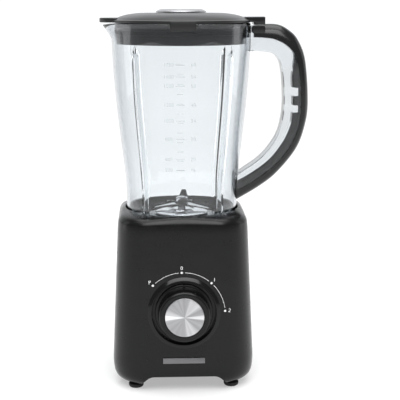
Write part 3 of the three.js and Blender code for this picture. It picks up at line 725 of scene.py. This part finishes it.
laminations = banded("laminated_iron", (0.06, 0.06, 0.065), (0.2, 0.2, 0.21), 0.5, 0.42, Metallic=1.0)
winding = banded("enamelled_wire", (0.2, 0.06, 0.02), (0.58, 0.24, 0.1), 0.7, 0.28, Metallic=0.8)
pressed_steel = metal("pressed_steel", (0.3, 0.3, 0.31), (0.44, 0.44, 0.45), 0.36, 240)
ground_steel = metal("ground_steel", (0.48, 0.48, 0.5), (0.7, 0.7, 0.71), 0.2, 700, (1, 1, 0.06))
natural_nylon = moulded("natural_nylon", (0.5, 0.48, 0.42), (0.64, 0.62, 0.55), 0.5, 0.2, 900)
MOTOR_FINISHES = (
    (laminations, ("stator_core", "armature_core")),
    (winding, ("field_coil_front", "field_coil_back", "armature_winding_bottom", "armature_winding_top")),
    (pressed_steel, ("lower_bracket", "upper_bracket")),
    (ground_steel, ("motor_shaft", "lower_bearing", "upper_bearing")),
    (natural_nylon, ("brush_holder_front", "brush_holder_back", "rotary_switch", "switch_shaft",
                     "interlock_switch", "cooling_fan")),
    (foot_rubber.material, tuple(f"motor_mount_{corner}" for corner in CORNERS)),
)
for material, nodes in MOTOR_FINISHES:
    for node in nodes:
        dress(node, material)

# ==== Commutator ============================================================================
# Copper bars set side by side round the shaft, with a thin gap of insulation between them.
def ring_tree():
    """Copies the incoming bar at equal angles round the blade axis, turned to face outwards."""
    graph = Graph("ring_of_bars", Count="Int", Centre="Vector", Material="Material")
    line = graph.node("GeometryNodeMeshLine", {}, {"Count": graph.inputs["Count"], "Offset": (0, 0, 0)})
    index = graph.node("GeometryNodeInputIndex", {}, {})
    share = graph.node("ShaderNodeMath", {"operation": "DIVIDE"}, {0: index, 1: graph.inputs["Count"]})
    angle = graph.node("ShaderNodeMath", {"operation": "MULTIPLY"}, {0: share, 1: 2 * math.pi})
    turn = graph.node("ShaderNodeCombineXYZ", {}, {2: angle})
    copies = graph.node("GeometryNodeInstanceOnPoints", {}, {
        "Points": line, "Instance": graph.inputs["Geometry"], "Rotation": turn})
    moved = graph.node("GeometryNodeTransform", {}, {
        "Geometry": copies, "Translation": graph.inputs["Centre"]})
    graph.finish(moved)
    return graph


copper_bar = metal("bare_copper", (0.5, 0.2, 0.1), (0.75, 0.38, 0.22), 0.3, 500, (1, 1, 0.1))
BARS = 24
bar = at_origin(prism("commutator_bars", [(4.4, -0.5), (10.4, -1.15), (10.4, 1.15), (4.4, 0.5)], 41, 53.6,
                      copper_bar, 0.12, steps=1))
ring_tree().grow(bar, Count=BARS, Centre=AXIS, Material=copper_bar)
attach(bar, "rotor")
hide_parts("commutator")

# ==== Couplings =============================================================================
# The motor's nylon star coupling stands in the well, and the blade unit's black socket drops
# over it when the jug is set down.
coupling_nylon = moulded("coupling_nylon", (0.42, 0.41, 0.38), (0.55, 0.54, 0.5), 0.42, 0.2, 700)
coupling_black = moulded("coupling_black", (0.014, 0.014, 0.014), (0.022, 0.022, 0.022), 0.45, 0.2, 900)
dress("drive_coupling", coupling_nylon)
dress("driven_coupling", coupling_black)

# ==== Interlock pin =========================================================================
# A sprung nylon pin that reaches through the well's floor; the seated jug presses it.
pin = turned("safety_pin", [
    (0, 138.7, 0), (2.6, 138.7, 0.3), (2.6, 141.6, 0.2), (4, 141.6, 0.2), (4, 143.2, 0.3),
    (2.6, 143.2, 0.2), (2.6, 151.5, 1), (0, 151.5, 0)], natural_nylon, 40, 3, (0, PIN_BACK))
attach(pin, "interlock_pin")
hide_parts("interlock_pin")

# ==== Jug ===================================================================================
# Injection moulded in clear plastic: a tapering wall with a pouring spout, four inner ribs that
# break up the swirl, and a floor with a hole for the blade unit.
JUG_BOTTOM, JUG_TOP, JUG_FLOOR = 147.8, 361.5, 168.5
JUG_OUTSIDE = ((147.8, 56.3), (176, 56.3), (200, 56.7), (218, 58.4), (246, 61.6), (284, 65.7),
               (334, 69.1), (361.5, 69.3))
SPOUT_FROM, SPOUT_REACH, SPOUT_DROP, SPOUT_HALF = 345.5, 9.4, 1.8, 0.3
RIB_DEPTH, RIB_HALF, RIB_TOP = 6.0, 1.3, 336
LIP_RADIUS, FLOOR_HOLE, FLOOR_UNDER = 1.3, 11.6, 165.5
SKIRT_INSIDE = 53.7


def jug_radius(z):
    """The jug's outer radius at a height, as a smooth curve through its stations."""
    points = JUG_OUTSIDE
    i = max(k for k in range(len(points) - 1) if points[k][0] <= z or k == 0)
    (z0, r0), (z1, r1) = points[i], points[i + 1]
    before, after = points[max(i - 1, 0)], points[min(i + 2, len(points) - 1)]
    slope0 = (r1 - before[1]) / (z1 - before[0])
    slope1 = (after[1] - r0) / (after[0] - z0)
    t = (z - z0) / (z1 - z0)
    width = z1 - z0
    return ((2 * t ** 3 - 3 * t ** 2 + 1) * r0 + (t ** 3 - 2 * t ** 2 + t) * width * slope0
            + (3 * t ** 2 - 2 * t ** 3) * r1 + (t ** 3 - t ** 2) * width * slope1)


def eased(value, low, high):
    t = min(max((value - low) / (high - low), 0), 1)
    return t * t * (3 - 2 * t)


def spout(x, y, z):
    """Bulges the lip out to the left into the spout and dips it a little."""
    angle = math.pi - abs(math.atan2(y, x))
    if z <= SPOUT_FROM or angle >= 2 * SPOUT_HALF:
        return x, y, z
    across = math.cos(angle / SPOUT_HALF * math.pi / 4) ** 2
    up = (z - SPOUT_FROM) / (JUG_TOP - SPOUT_FROM)
    grow = 1 + SPOUT_REACH * across * up / math.hypot(x, y)
    return x * grow, y * grow, z - SPOUT_DROP * across * up ** 3


def jug_rows():
    """(radius, height, 1 on the inner wall and floor) all the way round the wall's section."""
    climb = [JUG_BOTTOM + (JUG_TOP - 1.2 - JUG_BOTTOM) * i / 58 for i in range(59)]
    rows = [(jug_radius(z), z, 0) for z in climb]
    rows += [(jug_radius(JUG_TOP) - LIP_RADIUS + LIP_RADIUS * math.cos(a),
              JUG_TOP - LIP_RADIUS + LIP_RADIUS * math.sin(a), 0)
             for a in (math.pi * k / 8 for k in range(1, 8))]
    rows += [(jug_radius(z) - WALL, z, 1) for z in reversed([z for z in climb if z > 177])]
    floor = softened([(SKIRT_INSIDE, 180, 0), (SKIRT_INSIDE, JUG_FLOOR, 8), (FLOOR_HOLE, JUG_FLOOR, 0)], 8)
    rows += [(r, z, 1) for r, z in floor[1:]]
    rows += [(FLOOR_HOLE, FLOOR_UNDER, 0), (50, FLOOR_UNDER, 0)]
    rows += [(SKIRT_INSIDE, 161.5, 0), (SKIRT_INSIDE, JUG_BOTTOM, 0)]
    return rows


def jug_turns():
    """Even steps round the jug, with close ones beside each rib."""
    near = [0.0, 0.7, 1.1, 1.4, 1.8, 2.8, 4.5]
    arcs = sorted({step * side / 60 for step in near for side in (-1, 1)})
    turns = []
    for quarter in range(4):
        middle = math.pi / 4 + quarter * math.pi / 2
        turns += [middle + arc for arc in arcs]
        gap = math.pi / 2 - 2 * arcs[-1]
        turns += [middle + arcs[-1] + gap * k / 40 for k in range(1, 40)]
    return turns


def jug_point(row, turn):
    radius, z, inner = row
    if inner:
        off = abs((turn % (math.pi / 2)) - math.pi / 4) * 60
        stand = 1 - eased(off, RIB_HALF - 0.3, RIB_HALF + 0.4)
        depth = RIB_DEPTH * (1 - eased(z, RIB_TOP - 7, RIB_TOP + 1))
        crest = jug_radius(max(z, 176)) - WALL - depth
        radius -= stand * max(0, radius - crest)
    return spout(radius * math.cos(turn), radius * math.sin(turn), z)


clear = Finish("clear_jug_plastic", Transmission_Weight=1.0, IOR=1.49, Specular_IOR_Level=0.5)
haze = clear.noise(24, 4, (1, 1, 0.4), 0.6)
scratch = clear.noise(420, 3, (1, 1, 0.08), 0.7)
wall_tint = clear.blend(haze, (0.875, 0.9, 0.913), (0.915, 0.938, 0.95))
# Painted edge shade: the wall's colour turns grey where it is seen edge on, standing in for the longer path
# through the tinted plastic and the dim room seen through it.
wall_edge_shade = clear.between(clear.edge_on(0.5), 0.22, 0.85)
clear.feed(Base_Color=clear.blend(wall_edge_shade, wall_tint, (0.5, 0.53, 0.565)),
           Roughness=0.008 + 0.03 * clear.between(scratch, 0.55, 0.8))
clear.bump(clear.noise(30, 2), 0.04, 0.0004)
jug = swept("clear_jug", jug_rows(), jug_turns(), jug_point, clear.material, 50)
cam = prism("jug_cam", oblong(-5, PIN_BACK - 3, 5, PIN_BACK + 5), 151.9, 157, clear.material)
carve(jug, cam, "UNION")
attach(jug, "jug")
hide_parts("jug")

# ==== Graduations ===========================================================================
# Short raised lines and figures moulded into the front of the jug, left faintly frosted: the
# volume on the left and a second scale on the right.
frost = Finish("frosted_marks", Transmission_Weight=0.97, IOR=1.49)
speckle = frost.noise(1400, 2)
frost.feed(Base_Color=frost.blend(speckle, (0.82, 0.845, 0.86), (0.9, 0.92, 0.93)),
           Roughness=0.3 + 0.2 * speckle)
LEVELS = ((323.4, "1750", "60"), (312.3, "1600", "54"), (303.4, "1500", "50"), (285.4, "1200", "40"),
          (270, "1000", "34"), (252.3, "800", "28"), (232.3, "600", "20"), (221.5, "500", "16"))
SCALE_X = -3
MARK_LIFT = 0.14
FIGURE_SIZE, FIGURE_THICK = 5, 0.1
SHORT_TICK, LONG_TICK = 6, 9
TICKS, TICK_PITCH = 12, 9.27


def tick_tree():
    """Copies the incoming line up the jug at even steps from the lowest."""
    graph = Graph("tick_ladder", Count="Int", Pitch="Float", Low="Float", Material="Material")
    step = graph.node("ShaderNodeCombineXYZ", {}, {2: graph.inputs["Pitch"]})
    start = graph.node("ShaderNodeCombineXYZ", {}, {2: graph.inputs["Low"]})
    line = graph.node("GeometryNodeMeshLine", {}, {
        "Count": graph.inputs["Count"], "Start Location": start, "Offset": step})
    copies = graph.node("GeometryNodeInstanceOnPoints", {}, {
        "Points": line, "Instance": graph.inputs["Geometry"]})
    graph.finish(copies)
    return graph


def wrap_on_jug(mesh):
    """Bends a flat mark (X across, Y outwards, Z up, in metres) onto the jug's front wall."""
    for vert in mesh.vertices:
        x, out, z = vert.co.x / MM, vert.co.y / MM, vert.co.z / MM
        vert.co = place(x, -math.sqrt((jug_radius(z) + MARK_LIFT / 2 + out) ** 2 - x * x), z)


def stand_up(mesh, x, z):
    """Turns flat lettering upright and moves it to its place on the jug."""
    upright = Matrix(((1, 0, 0, 0), (0, 0, 1, 0), (0, 1, 0, 0), (0, 0, 0, 1)))
    mesh.transform(Matrix.Translation((x * MM, 0, z * MM)) @ upright)


def tick(width):
    """One flat line, cut across so that it can follow the wall."""
    steps = 10
    work = bmesh.new()
    rows = [[work.verts.new((width * MM * (i / steps - 0.5), y * MM, z * MM)) for y, z in
             oblong(-0.02, -0.3, MARK_LIFT, 0.3)] for i in range(steps + 1)]
    for near, far in zip(rows, rows[1:]):
        for k in range(4):
            work.faces.new((near[k], near[(k + 1) % 4], far[(k + 1) % 4], far[k]))
    work.faces.new(rows[0])
    work.faces.new(rows[-1])
    bmesh.ops.recalc_face_normals(work, faces=work.faces)
    mesh = bpy.data.meshes.new("tick")
    work.to_mesh(mesh)
    work.free()
    return add_object("tick", mesh)


ladder = tick_tree()
mark_meshes = []
lowest = LEVELS[-1][0] * MM
short = ladder.grow(tick(SHORT_TICK), Count=TICKS, Pitch=TICK_PITCH * MM, Low=lowest,
                    Material=frost.material)
short.data.transform(Matrix.Translation((SCALE_X * MM, 0, 0)))
mark_meshes.append(short.data)
bpy.data.objects.remove(short)
for height, volume, second in LEVELS:
    left = lettering("level_left", volume, FIGURE_SIZE, FIGURE_THICK)
    stand_up(left, SCALE_X - 11, height)
    right = lettering("level_right", second, FIGURE_SIZE, FIGURE_THICK)
    stand_up(right, SCALE_X + 12.5, height)
    long_tick = tick(LONG_TICK)
    long_tick.data.transform(Matrix.Translation((SCALE_X * MM, 0, height * MM)))
    mark_meshes += [left, right, long_tick.data]
    bpy.data.objects.remove(long_tick)
for mesh in mark_meshes:
    wrap_on_jug(mesh)
marks = gather("graduations", mark_meshes, frost.material)
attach(marks, "jug")

# ==== Handle frame ==========================================================================
# The clear half of the handle: a channel that leaves the jug near its rim, curves down and
# meets it again low down. Two tabs bridge the channel and hold the black cover.
HANDLE_HALF, HANDLE_ROOT, RIB_WIDE, RIB_DEEP, RIB_START = 12.5, 71.4, 8.0, 8.0, 0.25
CROWN_OUTER = ((71.7, 359.8), (95, 360.1), (108.2, 354.1), (117.4, 344.2), (124.9, 324.2), (128.3, 284),
               (125.7, 259.4), (116.8, 234.7), (97, 210), (78.6, 195.5), (54, 181))
CROWN_INNER = ((71.7, 347.5), (91.2, 345.7), (106.4, 338.2), (115.3, 324.2), (119.6, 298), (119.6, 268.6),
               (116, 251.2), (107.5, 234.8), (93.8, 218.3), (71.8, 202), (52, 191.2))
GRIP_INNER = ((60, 333.8), (74, 333.8), (87.8, 332.3), (94.9, 328.3), (100.5, 316.3), (103, 284),
              (100.3, 259.5), (93.5, 243.1), (80.4, 226.7), (62, 213.4), (50, 206))
TAB_SPANS = ((288.8, 297), (272.2, 279.2))
JOINT_GAP = 0.3
arm_clear = Finish("clear_handle_plastic", Transmission_Weight=1.0, IOR=1.49, Specular_IOR_Level=0.5)
cloud = arm_clear.noise(30, 3, None, 0.6)
arm_tint = arm_clear.blend(cloud, (0.66, 0.69, 0.71), (0.76, 0.785, 0.8))
# Painted edge shade: the arm's colour turns dark grey where it is seen edge on, which draws its outlines.
arm_edge_shade = arm_clear.between(arm_clear.edge_on(0.5), 0.3, 0.9)
arm_clear.feed(Base_Color=arm_clear.blend(arm_edge_shade, arm_tint, (0.3, 0.33, 0.35)),
               Roughness=0.02 + 0.05 * cloud)
arm_clear.bump(arm_clear.noise(55, 2), 0.12, 0.0006)


def curve_at(points, t):
    """A point at share t of a smooth curve through the given points."""
    along = min(t * (len(points) - 1), len(points) - 1.000001)
    i = int(along)
    w = along - i
    p0, p1 = Vector(points[max(i - 1, 0)]), Vector(points[i])
    p2, p3 = Vector(points[i + 1]), Vector(points[min(i + 2, len(points) - 1)])
    return p1 + 0.5 * w * (p2 - p0 + w * (2 * p0 - 5 * p1 + 4 * p2 - p3 + w * (3 * (p1 - p2) + p3 - p0)))


def curve_side(points, t):
    """The unit direction across the curve, towards the jug."""
    step = curve_at(points, min(t + 0.005, 1)) - curve_at(points, max(t - 0.005, 0))
    return Vector((step.y, -step.x)).normalized()


def loft(name, stations, material):
    """Skins a list of equal rings of (x, y, z) points in mm and caps both ends."""
    size = len(stations[0])
    corners = [place(*point) for ring in stations for point in ring]
    faces = [(i * size + k, i * size + (k + 1) % size, (i + 1) * size + (k + 1) % size, (i + 1) * size + k)
             for i in range(len(stations) - 1) for k in range(size)]
    faces += [tuple(range(size)), tuple(range((len(stations) - 1) * size, len(stations) * size))]
    mesh = bpy.data.meshes.new(name)
    mesh.from_pydata(corners, [], faces)
    return finish_mesh(name, mesh, material)


def jug_clearance():
    """A solid a hair larger than the jug, to cut the handle's roots to its wall."""
    rows = [(0, 165, 0), (56.3 + JOINT_GAP, 165, 0)]
    rows += [(jug_radius(z) + JOINT_GAP, z, 0) for z in range(176, 362, 6)] + [(69.7, 380, 0), (0, 380, 0)]
    return swept("jug_tool", rows, around(144),
                 lambda row, turn: (row[0] * math.cos(turn), row[0] * math.sin(turn), row[1]),
                 None, closed_profile=False)


def across_handle(outer, inward, corners, steps):
    """A section standing across the handle: its outer face at a point of the curve."""
    return [(outer.x + inward.x * deep, side, outer.y + inward.y * deep) for deep, side in
            (row[:2] for row in softened(corners, steps))]


def rib_depth(t):
    """How deep the cover's rib stands in the channel; it fades out over the bend."""
    return RIB_DEEP * eased(t, RIB_START, RIB_START + 0.13)


def channel_ring(t):
    """The clear channel's section: a U that opens outwards, deep enough for the cover's rib."""
    outer = curve_at(CROWN_INNER, t) + curve_side(CROWN_INNER, t) * JOINT_GAP
    across = curve_at(GRIP_INNER, t) - outer
    depth, inward = across.length, across.normalized()
    deep = JOINT_GAP + rib_depth(min(t + 0.01, 1))
    slot_half = RIB_WIDE + JOINT_GAP
    corners = [(0, -HANDLE_HALF, 0.5), (depth, -HANDLE_HALF, 2.4), (depth, HANDLE_HALF, 2.4),
               (0, HANDLE_HALF, 0.5), (0, slot_half, 0.1), (deep, slot_half, 0.1),
               (deep, -slot_half, 0.1), (0, -slot_half, 0.1)]
    return across_handle(outer, inward, corners, 4)


shares = [i / 110 for i in range(111)]
frame_piece = loft("handle_frame_clear", [channel_ring(t) for t in shares], arm_clear.material)
plate = prism("root_plate", oblong(60, 333.8, HANDLE_ROOT, 359), -HANDLE_HALF, HANDLE_HALF,
              arm_clear.material, frame_of=SIDEWAYS)
carve(frame_piece, plate, "UNION")
for low, high in TAB_SPANS:
    tab = prism("cover_tab", oblong(103, low, 117.2, high), -RIB_WIDE - 1.5, RIB_WIDE + 1.5,
                arm_clear.material, frame_of=SIDEWAYS)
    carve(frame_piece, tab, "UNION")
carve(frame_piece, jug_clearance())
paint(frame_piece, arm_clear.material)
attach(frame_piece, "jug")
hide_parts("handle_frame")

# ==== Handle cover ==========================================================================
# The black half of the handle, moulded in gloss plastic: a rounded crown for the palm and a rib
# that clips into the clear channel. A hook block under the lid's cover tops its root.
def crown_ring(t):
    """A full, arched section: flat towards the jug, round towards the palm."""
    outer = curve_at(CROWN_OUTER, t)
    across = curve_at(CROWN_INNER, t) - outer
    ring = []
    for step in range(33):
        angle = math.pi * step / 32
        deep = 1 - math.sin(angle) ** 0.85
        side = math.copysign(abs(math.cos(angle)) ** 0.85, -math.cos(angle)) * HANDLE_HALF
        ring.append((outer.x + across.x * deep, side, outer.y + across.y * deep))
    return ring


def rib_ring(t):
    side = curve_side(CROWN_INNER, t)
    outer = curve_at(CROWN_INNER, t) - side
    deep = rib_depth(t) + 1
    corners = [(0, -RIB_WIDE, 0.2), (deep, -RIB_WIDE, 0.5), (deep, RIB_WIDE, 0.5), (0, RIB_WIDE, 0.2)]
    return across_handle(outer, side, corners, 3)


cover_black = moulded("handle_gloss", (0.005, 0.005, 0.0055), (0.008, 0.008, 0.0085), 0.17, 0.05, 600, 0.06,
                      Specular_IOR_Level=0.4)
crown = loft("handle_cover_black", [crown_ring(t) for t in shares], cover_black)
carve(crown, prism("hook_gap", oblong(60, 358.9, 83.4, 372), -20, 20, frame_of=SIDEWAYS))
carve(crown, jug_clearance())
rib = loft("cover_rib", [rib_ring(t) for t in shares if t >= RIB_START], cover_black)
for low, high in TAB_SPANS:
    carve(rib, prism("tab_gap", oblong(100, low - 0.4, 117.6, high + 0.4), -20, 20, frame_of=SIDEWAYS))
carve(rib, jug_clearance())
HOOK_HALF = HANDLE_HALF + 0.6
hook = prism("cover_hook", rounded_path(oblong(70, 351, 83, 358.8), 2.6), -HOOK_HALF, HOOK_HALF,
             cover_black, 0.5, SIDEWAYS)
carve(crown, rib, "UNION")
carve(hook, jug_clearance())
carve(crown, hook, "UNION")
paint(crown, cover_black)
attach(crown, "jug")
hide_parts("handle_cover")

# ==== Blade bearing housing =================================================================
# The plated, domed housing that carries the blade shaft through the jug's floor, with its gasket
# and the black nut that clamps it from below.
chrome = metal("bright_chrome", (0.62, 0.63, 0.64), (0.76, 0.76, 0.77), 0.07, 300, (1, 1, 1), 0.05)
hub = turned("bearing_hub", [
    (4.4, 161, 0), (11, 161, 0.5), (11, 169, 0.2), (13, 169.6, 0), (27, 169.6, 0.3), (27, 170.7, 0.5),
    (23, 171.6, 2), (13, 172.2, 2.5), (9, 173.6, 0.8), (4.4, 173.6, 0)], chrome, 96, 4)
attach(hub, "jug")
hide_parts("blade_bearing_housing")
dress("jug_gasket", moulded("gasket_silicone", (0.55, 0.55, 0.54), (0.66, 0.66, 0.65), 0.6, 0.2, 500))
dress("blade_lock_nut", moulded("nut_black", (0.012, 0.012, 0.012), (0.02, 0.02, 0.02), 0.4, 0.2, 900))

# ==== Blades ================================================================================
# Two stamped stainless strips, crossed: one pair of arms droops, the other is bent up. A spacer
# keeps them apart and a nut holds both on the shaft.
blade_steel = metal("stamped_stainless", (0.5, 0.5, 0.51), (0.7, 0.7, 0.71), 0.17, 520, (0.1, 1, 1), 0.2)
for node in ("blade_shaft", "lower_blade", "upper_blade", "blade_spacer", "blade_nut"):
    dress(node, blade_steel)

# ==== Lid ===================================================================================
# Moulded in dark plastic: a shallow dome with a recess for the cap, a skirt that drops inside
# the jug, a tongue over the spout, a cover over the handle's hook and two lock tabs.
LID_FLANGE, LID_RECESS, LID_COLLAR = 69.2, 38.4, 24.6
lid_black = moulded("lid_plastic", (0.0115, 0.0115, 0.012), (0.0155, 0.0155, 0.016), 0.3, 0.03, 1400, 0.03,
                    Specular_IOR_Level=0.35)
dome = turned("lid_dome", [
    (LID_COLLAR, 369.2, 0.4), (LID_RECESS, 369.2, 0.2), (LID_RECESS + 0.3, 371.1, 0.5),
    (43, 371.1, 2), (55, 369.5, 5), (63, 367, 4), (67, 364.6, 1.2),
    (LID_FLANGE, 364.3, 0.7), (LID_FLANGE, 361.9, 0.4), (65.5, 361.9, 0.2),
    (65.2, 354.3, 0.2), (63.8, 354.3, 0.1), (63.8, 350.2, 0.1), (65.2, 350.2, 0.3),
    (64.8, 341, 0.9), (62.4, 341, 0.9), (62.8, 360.8, 2), (52, 367, 3), (39, 366.6, 1),
    (26.8, 366.6, 1), (26.8, 352, 0.8), (LID_COLLAR, 352, 0.8)],
    lid_black, 192, 5)
lid_parts = [dome]
for facing in (-math.pi / 2, math.pi / 2):
    tab_plan = arc_band(69.65, 71.8, 12.8, facing)
    lid_parts.append(prism("lock_tab", tab_plan, 355, 364, lid_black, 0.4, steps=2))
    root_plan = arc_band(66, 71.7, 12.7, facing)
    lid_parts.append(prism("lock_tab_root", root_plan, 361.95, 363.9, lid_black))
tongue = rounded_path([(-62, -19), (-74, -14.5), (-81.2, -6), (-81.2, 6), (-74, 14.5), (-62, 19)], 6)
lid_parts.append(prism("spout_tongue", tongue, 361.9, 366.4, lid_black, 0.9))
lid = gather("lid_whole", [part.data for part in lid_parts], lid_black)
for part in lid_parts:
    bpy.data.objects.remove(part)
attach(lid, "lid")
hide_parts("lid")

# ==== Hook cover ============================================================================
# A gloss black block on the lid's right edge that drops over the hook at the top of the handle.
hook_outline = rounded_path([(62, 364), (62, 367.3), (83, 367.5), (83, 359.4), (72.2, 359.4),
                             (72.2, 362.2), (66, 362.2)], 1.1, 4)
hook_cover = prism("hook_cover", hook_outline, -HOOK_HALF, HOOK_HALF, cover_black, 0.6, SIDEWAYS, 3)
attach(hook_cover, "lid")

# ==== Lid seal ==============================================================================
# A soft silicone ring stretched into the groove of the lid's skirt.
seal_grey = moulded("seal_silicone", (0.014, 0.014, 0.0145), (0.019, 0.019, 0.0195), 0.5, 0.1, 700, 0.05,
                    Specular_IOR_Level=0.3)
seal = turned("skirt_seal", [
    (64.1, 350.5, 0.2), (65.2, 350.4, 0.2), (65.3, 352.2, 0.4), (65.2, 354.1, 0.2), (64.1, 354, 0.2)],
    seal_grey, 160, 3)
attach(seal, "lid")
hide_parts("lid_seal")

# ==== Filler cap ============================================================================
# A gloss black cap whose hollow cup drops through the lid, with a domed aluminium disc glued on
# top of it.
cap = turned("cap_body", [
    (0, 371.3, 0), (37.6, 371.3, 0.7), (37.6, 369.5, 0.3), (23.6, 369.5, 0.4), (23.1, 340, 0.8),
    (21.1, 340, 0.8), (21.6, 367.2, 1.5), (0, 367.2, 0)], gloss_black, 160, 5)
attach(cap, "cap")
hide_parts("filler_cap")
cap_metal = metal("satin_cap_disc", (0.34, 0.34, 0.35), (0.47, 0.47, 0.48), 0.34, 800, (1, 1, 1), 0.12)
cap_disc = turned("cap_face_disc", [
    (0, 371.6, 0), (25, 371.6, 0.2), (25, 372.8, 0.5), (20.8, 374.9, 1.4), (0, 374.75, 0)],
    cap_metal, 128, 5)
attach(cap_disc, "cap")
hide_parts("cap_disc")

# ==== Studio ================================================================================
# A faintly glowing white sheet, in a room that is bright behind and dim in front, with a broad sun
# and soft boxes at both sides, above and in front. The camera is a metre away, just above the lid.
floor_mesh = bpy.data.meshes.new("studio_floor")
floor_mesh.from_pydata([(-6, -5, 0), (6, -5, 0), (6, 9, 0), (-6, 9, 0)], [], [(0, 1, 2, 3)])
floor = add_object("studio_floor", floor_mesh)
pale = Finish("lit_white_sheet", Roughness=0.7, Specular_IOR_Level=0.1, Emission_Strength=1.0)
distance = pale.node("ShaderNodeVectorMath", {"operation": "LENGTH"}, {0: pale.spot}, "Value")
pale.feed(Base_Color=pale.blend(pale.noise(3, 2), (0.5, 0.5, 0.5), (0.54, 0.54, 0.54)),
          Emission_Color=pale.blend(pale.between(distance, 0.3, 3.2), (0.4, 0.4, 0.4), (0.55, 0.55, 0.55)))
floor_mesh.materials.append(pale.material)

room = bpy.data.worlds.new("studio_room")
bpy.context.scene.world = room
room.use_nodes = True
ROOM_DIM, ROOM_BRIGHT = 0.36, 1.1
facing = new_node(room.node_tree, "ShaderNodeTexCoord", {}, {})
split = new_node(room.node_tree, "ShaderNodeSeparateXYZ", {}, {0: facing.outputs["Generated"]})
reach = new_node(room.node_tree, "ShaderNodeMapRange", {"interpolation_type": "SMOOTHSTEP"}, {
    "Value": split.outputs["Y"], "From Min": 0.25, "From Max": 0.85,
    "To Min": ROOM_DIM, "To Max": ROOM_BRIGHT})
seen = new_node(room.node_tree, "ShaderNodeLightPath", {}, {})
chosen = new_node(room.node_tree, "ShaderNodeMix", {}, {
    "Factor": seen.outputs["Is Camera Ray"], "A": reach.outputs[0], "B": ROOM_BRIGHT})
backdrop = room.node_tree.nodes["Background"]
room.node_tree.links.new(chosen.outputs[0], backdrop.inputs["Strength"])
backdrop.inputs["Color"].default_value = (0.97, 0.985, 1.0, 1)

AIM = Vector((0, 0, 0.2))
SOFT_BOXES = (      # name, place in metres, width, height, watts
    ("top_box", (0, 0.1, 1.7), 1.6, 1.4, 16),
    ("front_box", (0, -1.15, 1.3), 1.5, 0.85, 18),
    ("left_box", (-1.5, 0.3, 0.5), 0.5, 1.4, 2),
    ("right_box", (1.5, 0.3, 0.5), 0.5, 1.4, 2),
)
for name, spot, width, height, power in SOFT_BOXES:
    light = bpy.data.lights.new(name, "AREA")
    light.shape, light.size, light.size_y, light.energy = "RECTANGLE", width, height, power
    holder = add_object(name, light)
    holder.location = spot
    holder.rotation_euler = (AIM - Vector(spot)).to_track_quat("-Z", "Y").to_euler()

SUN_STRENGTH, SUN_SPREAD, SUN_TILT = 1.3, 70, 12
daylight = bpy.data.lights.new("daylight", "SUN")
daylight.energy, daylight.angle = SUN_STRENGTH, math.radians(SUN_SPREAD)
window = add_object("daylight", daylight)
window.rotation_euler = (math.radians(SUN_TILT), 0, 0)

CAMERA_AT, CAMERA_TILT, CAMERA_TURN = (-31.4, -1059.1, 381.7), 79.3, -2.717
camera_data = bpy.data.cameras.new("camera")
camera_data.lens, camera_data.sensor_width = 94.3, 36
camera = add_object("camera", camera_data)
camera.location = place(*CAMERA_AT)
camera.rotation_euler = (math.radians(CAMERA_TILT), 0, math.radians(CAMERA_TURN))
bpy.context.scene.camera = camera
bpy.context.scene.view_settings.view_transform = "Standard"
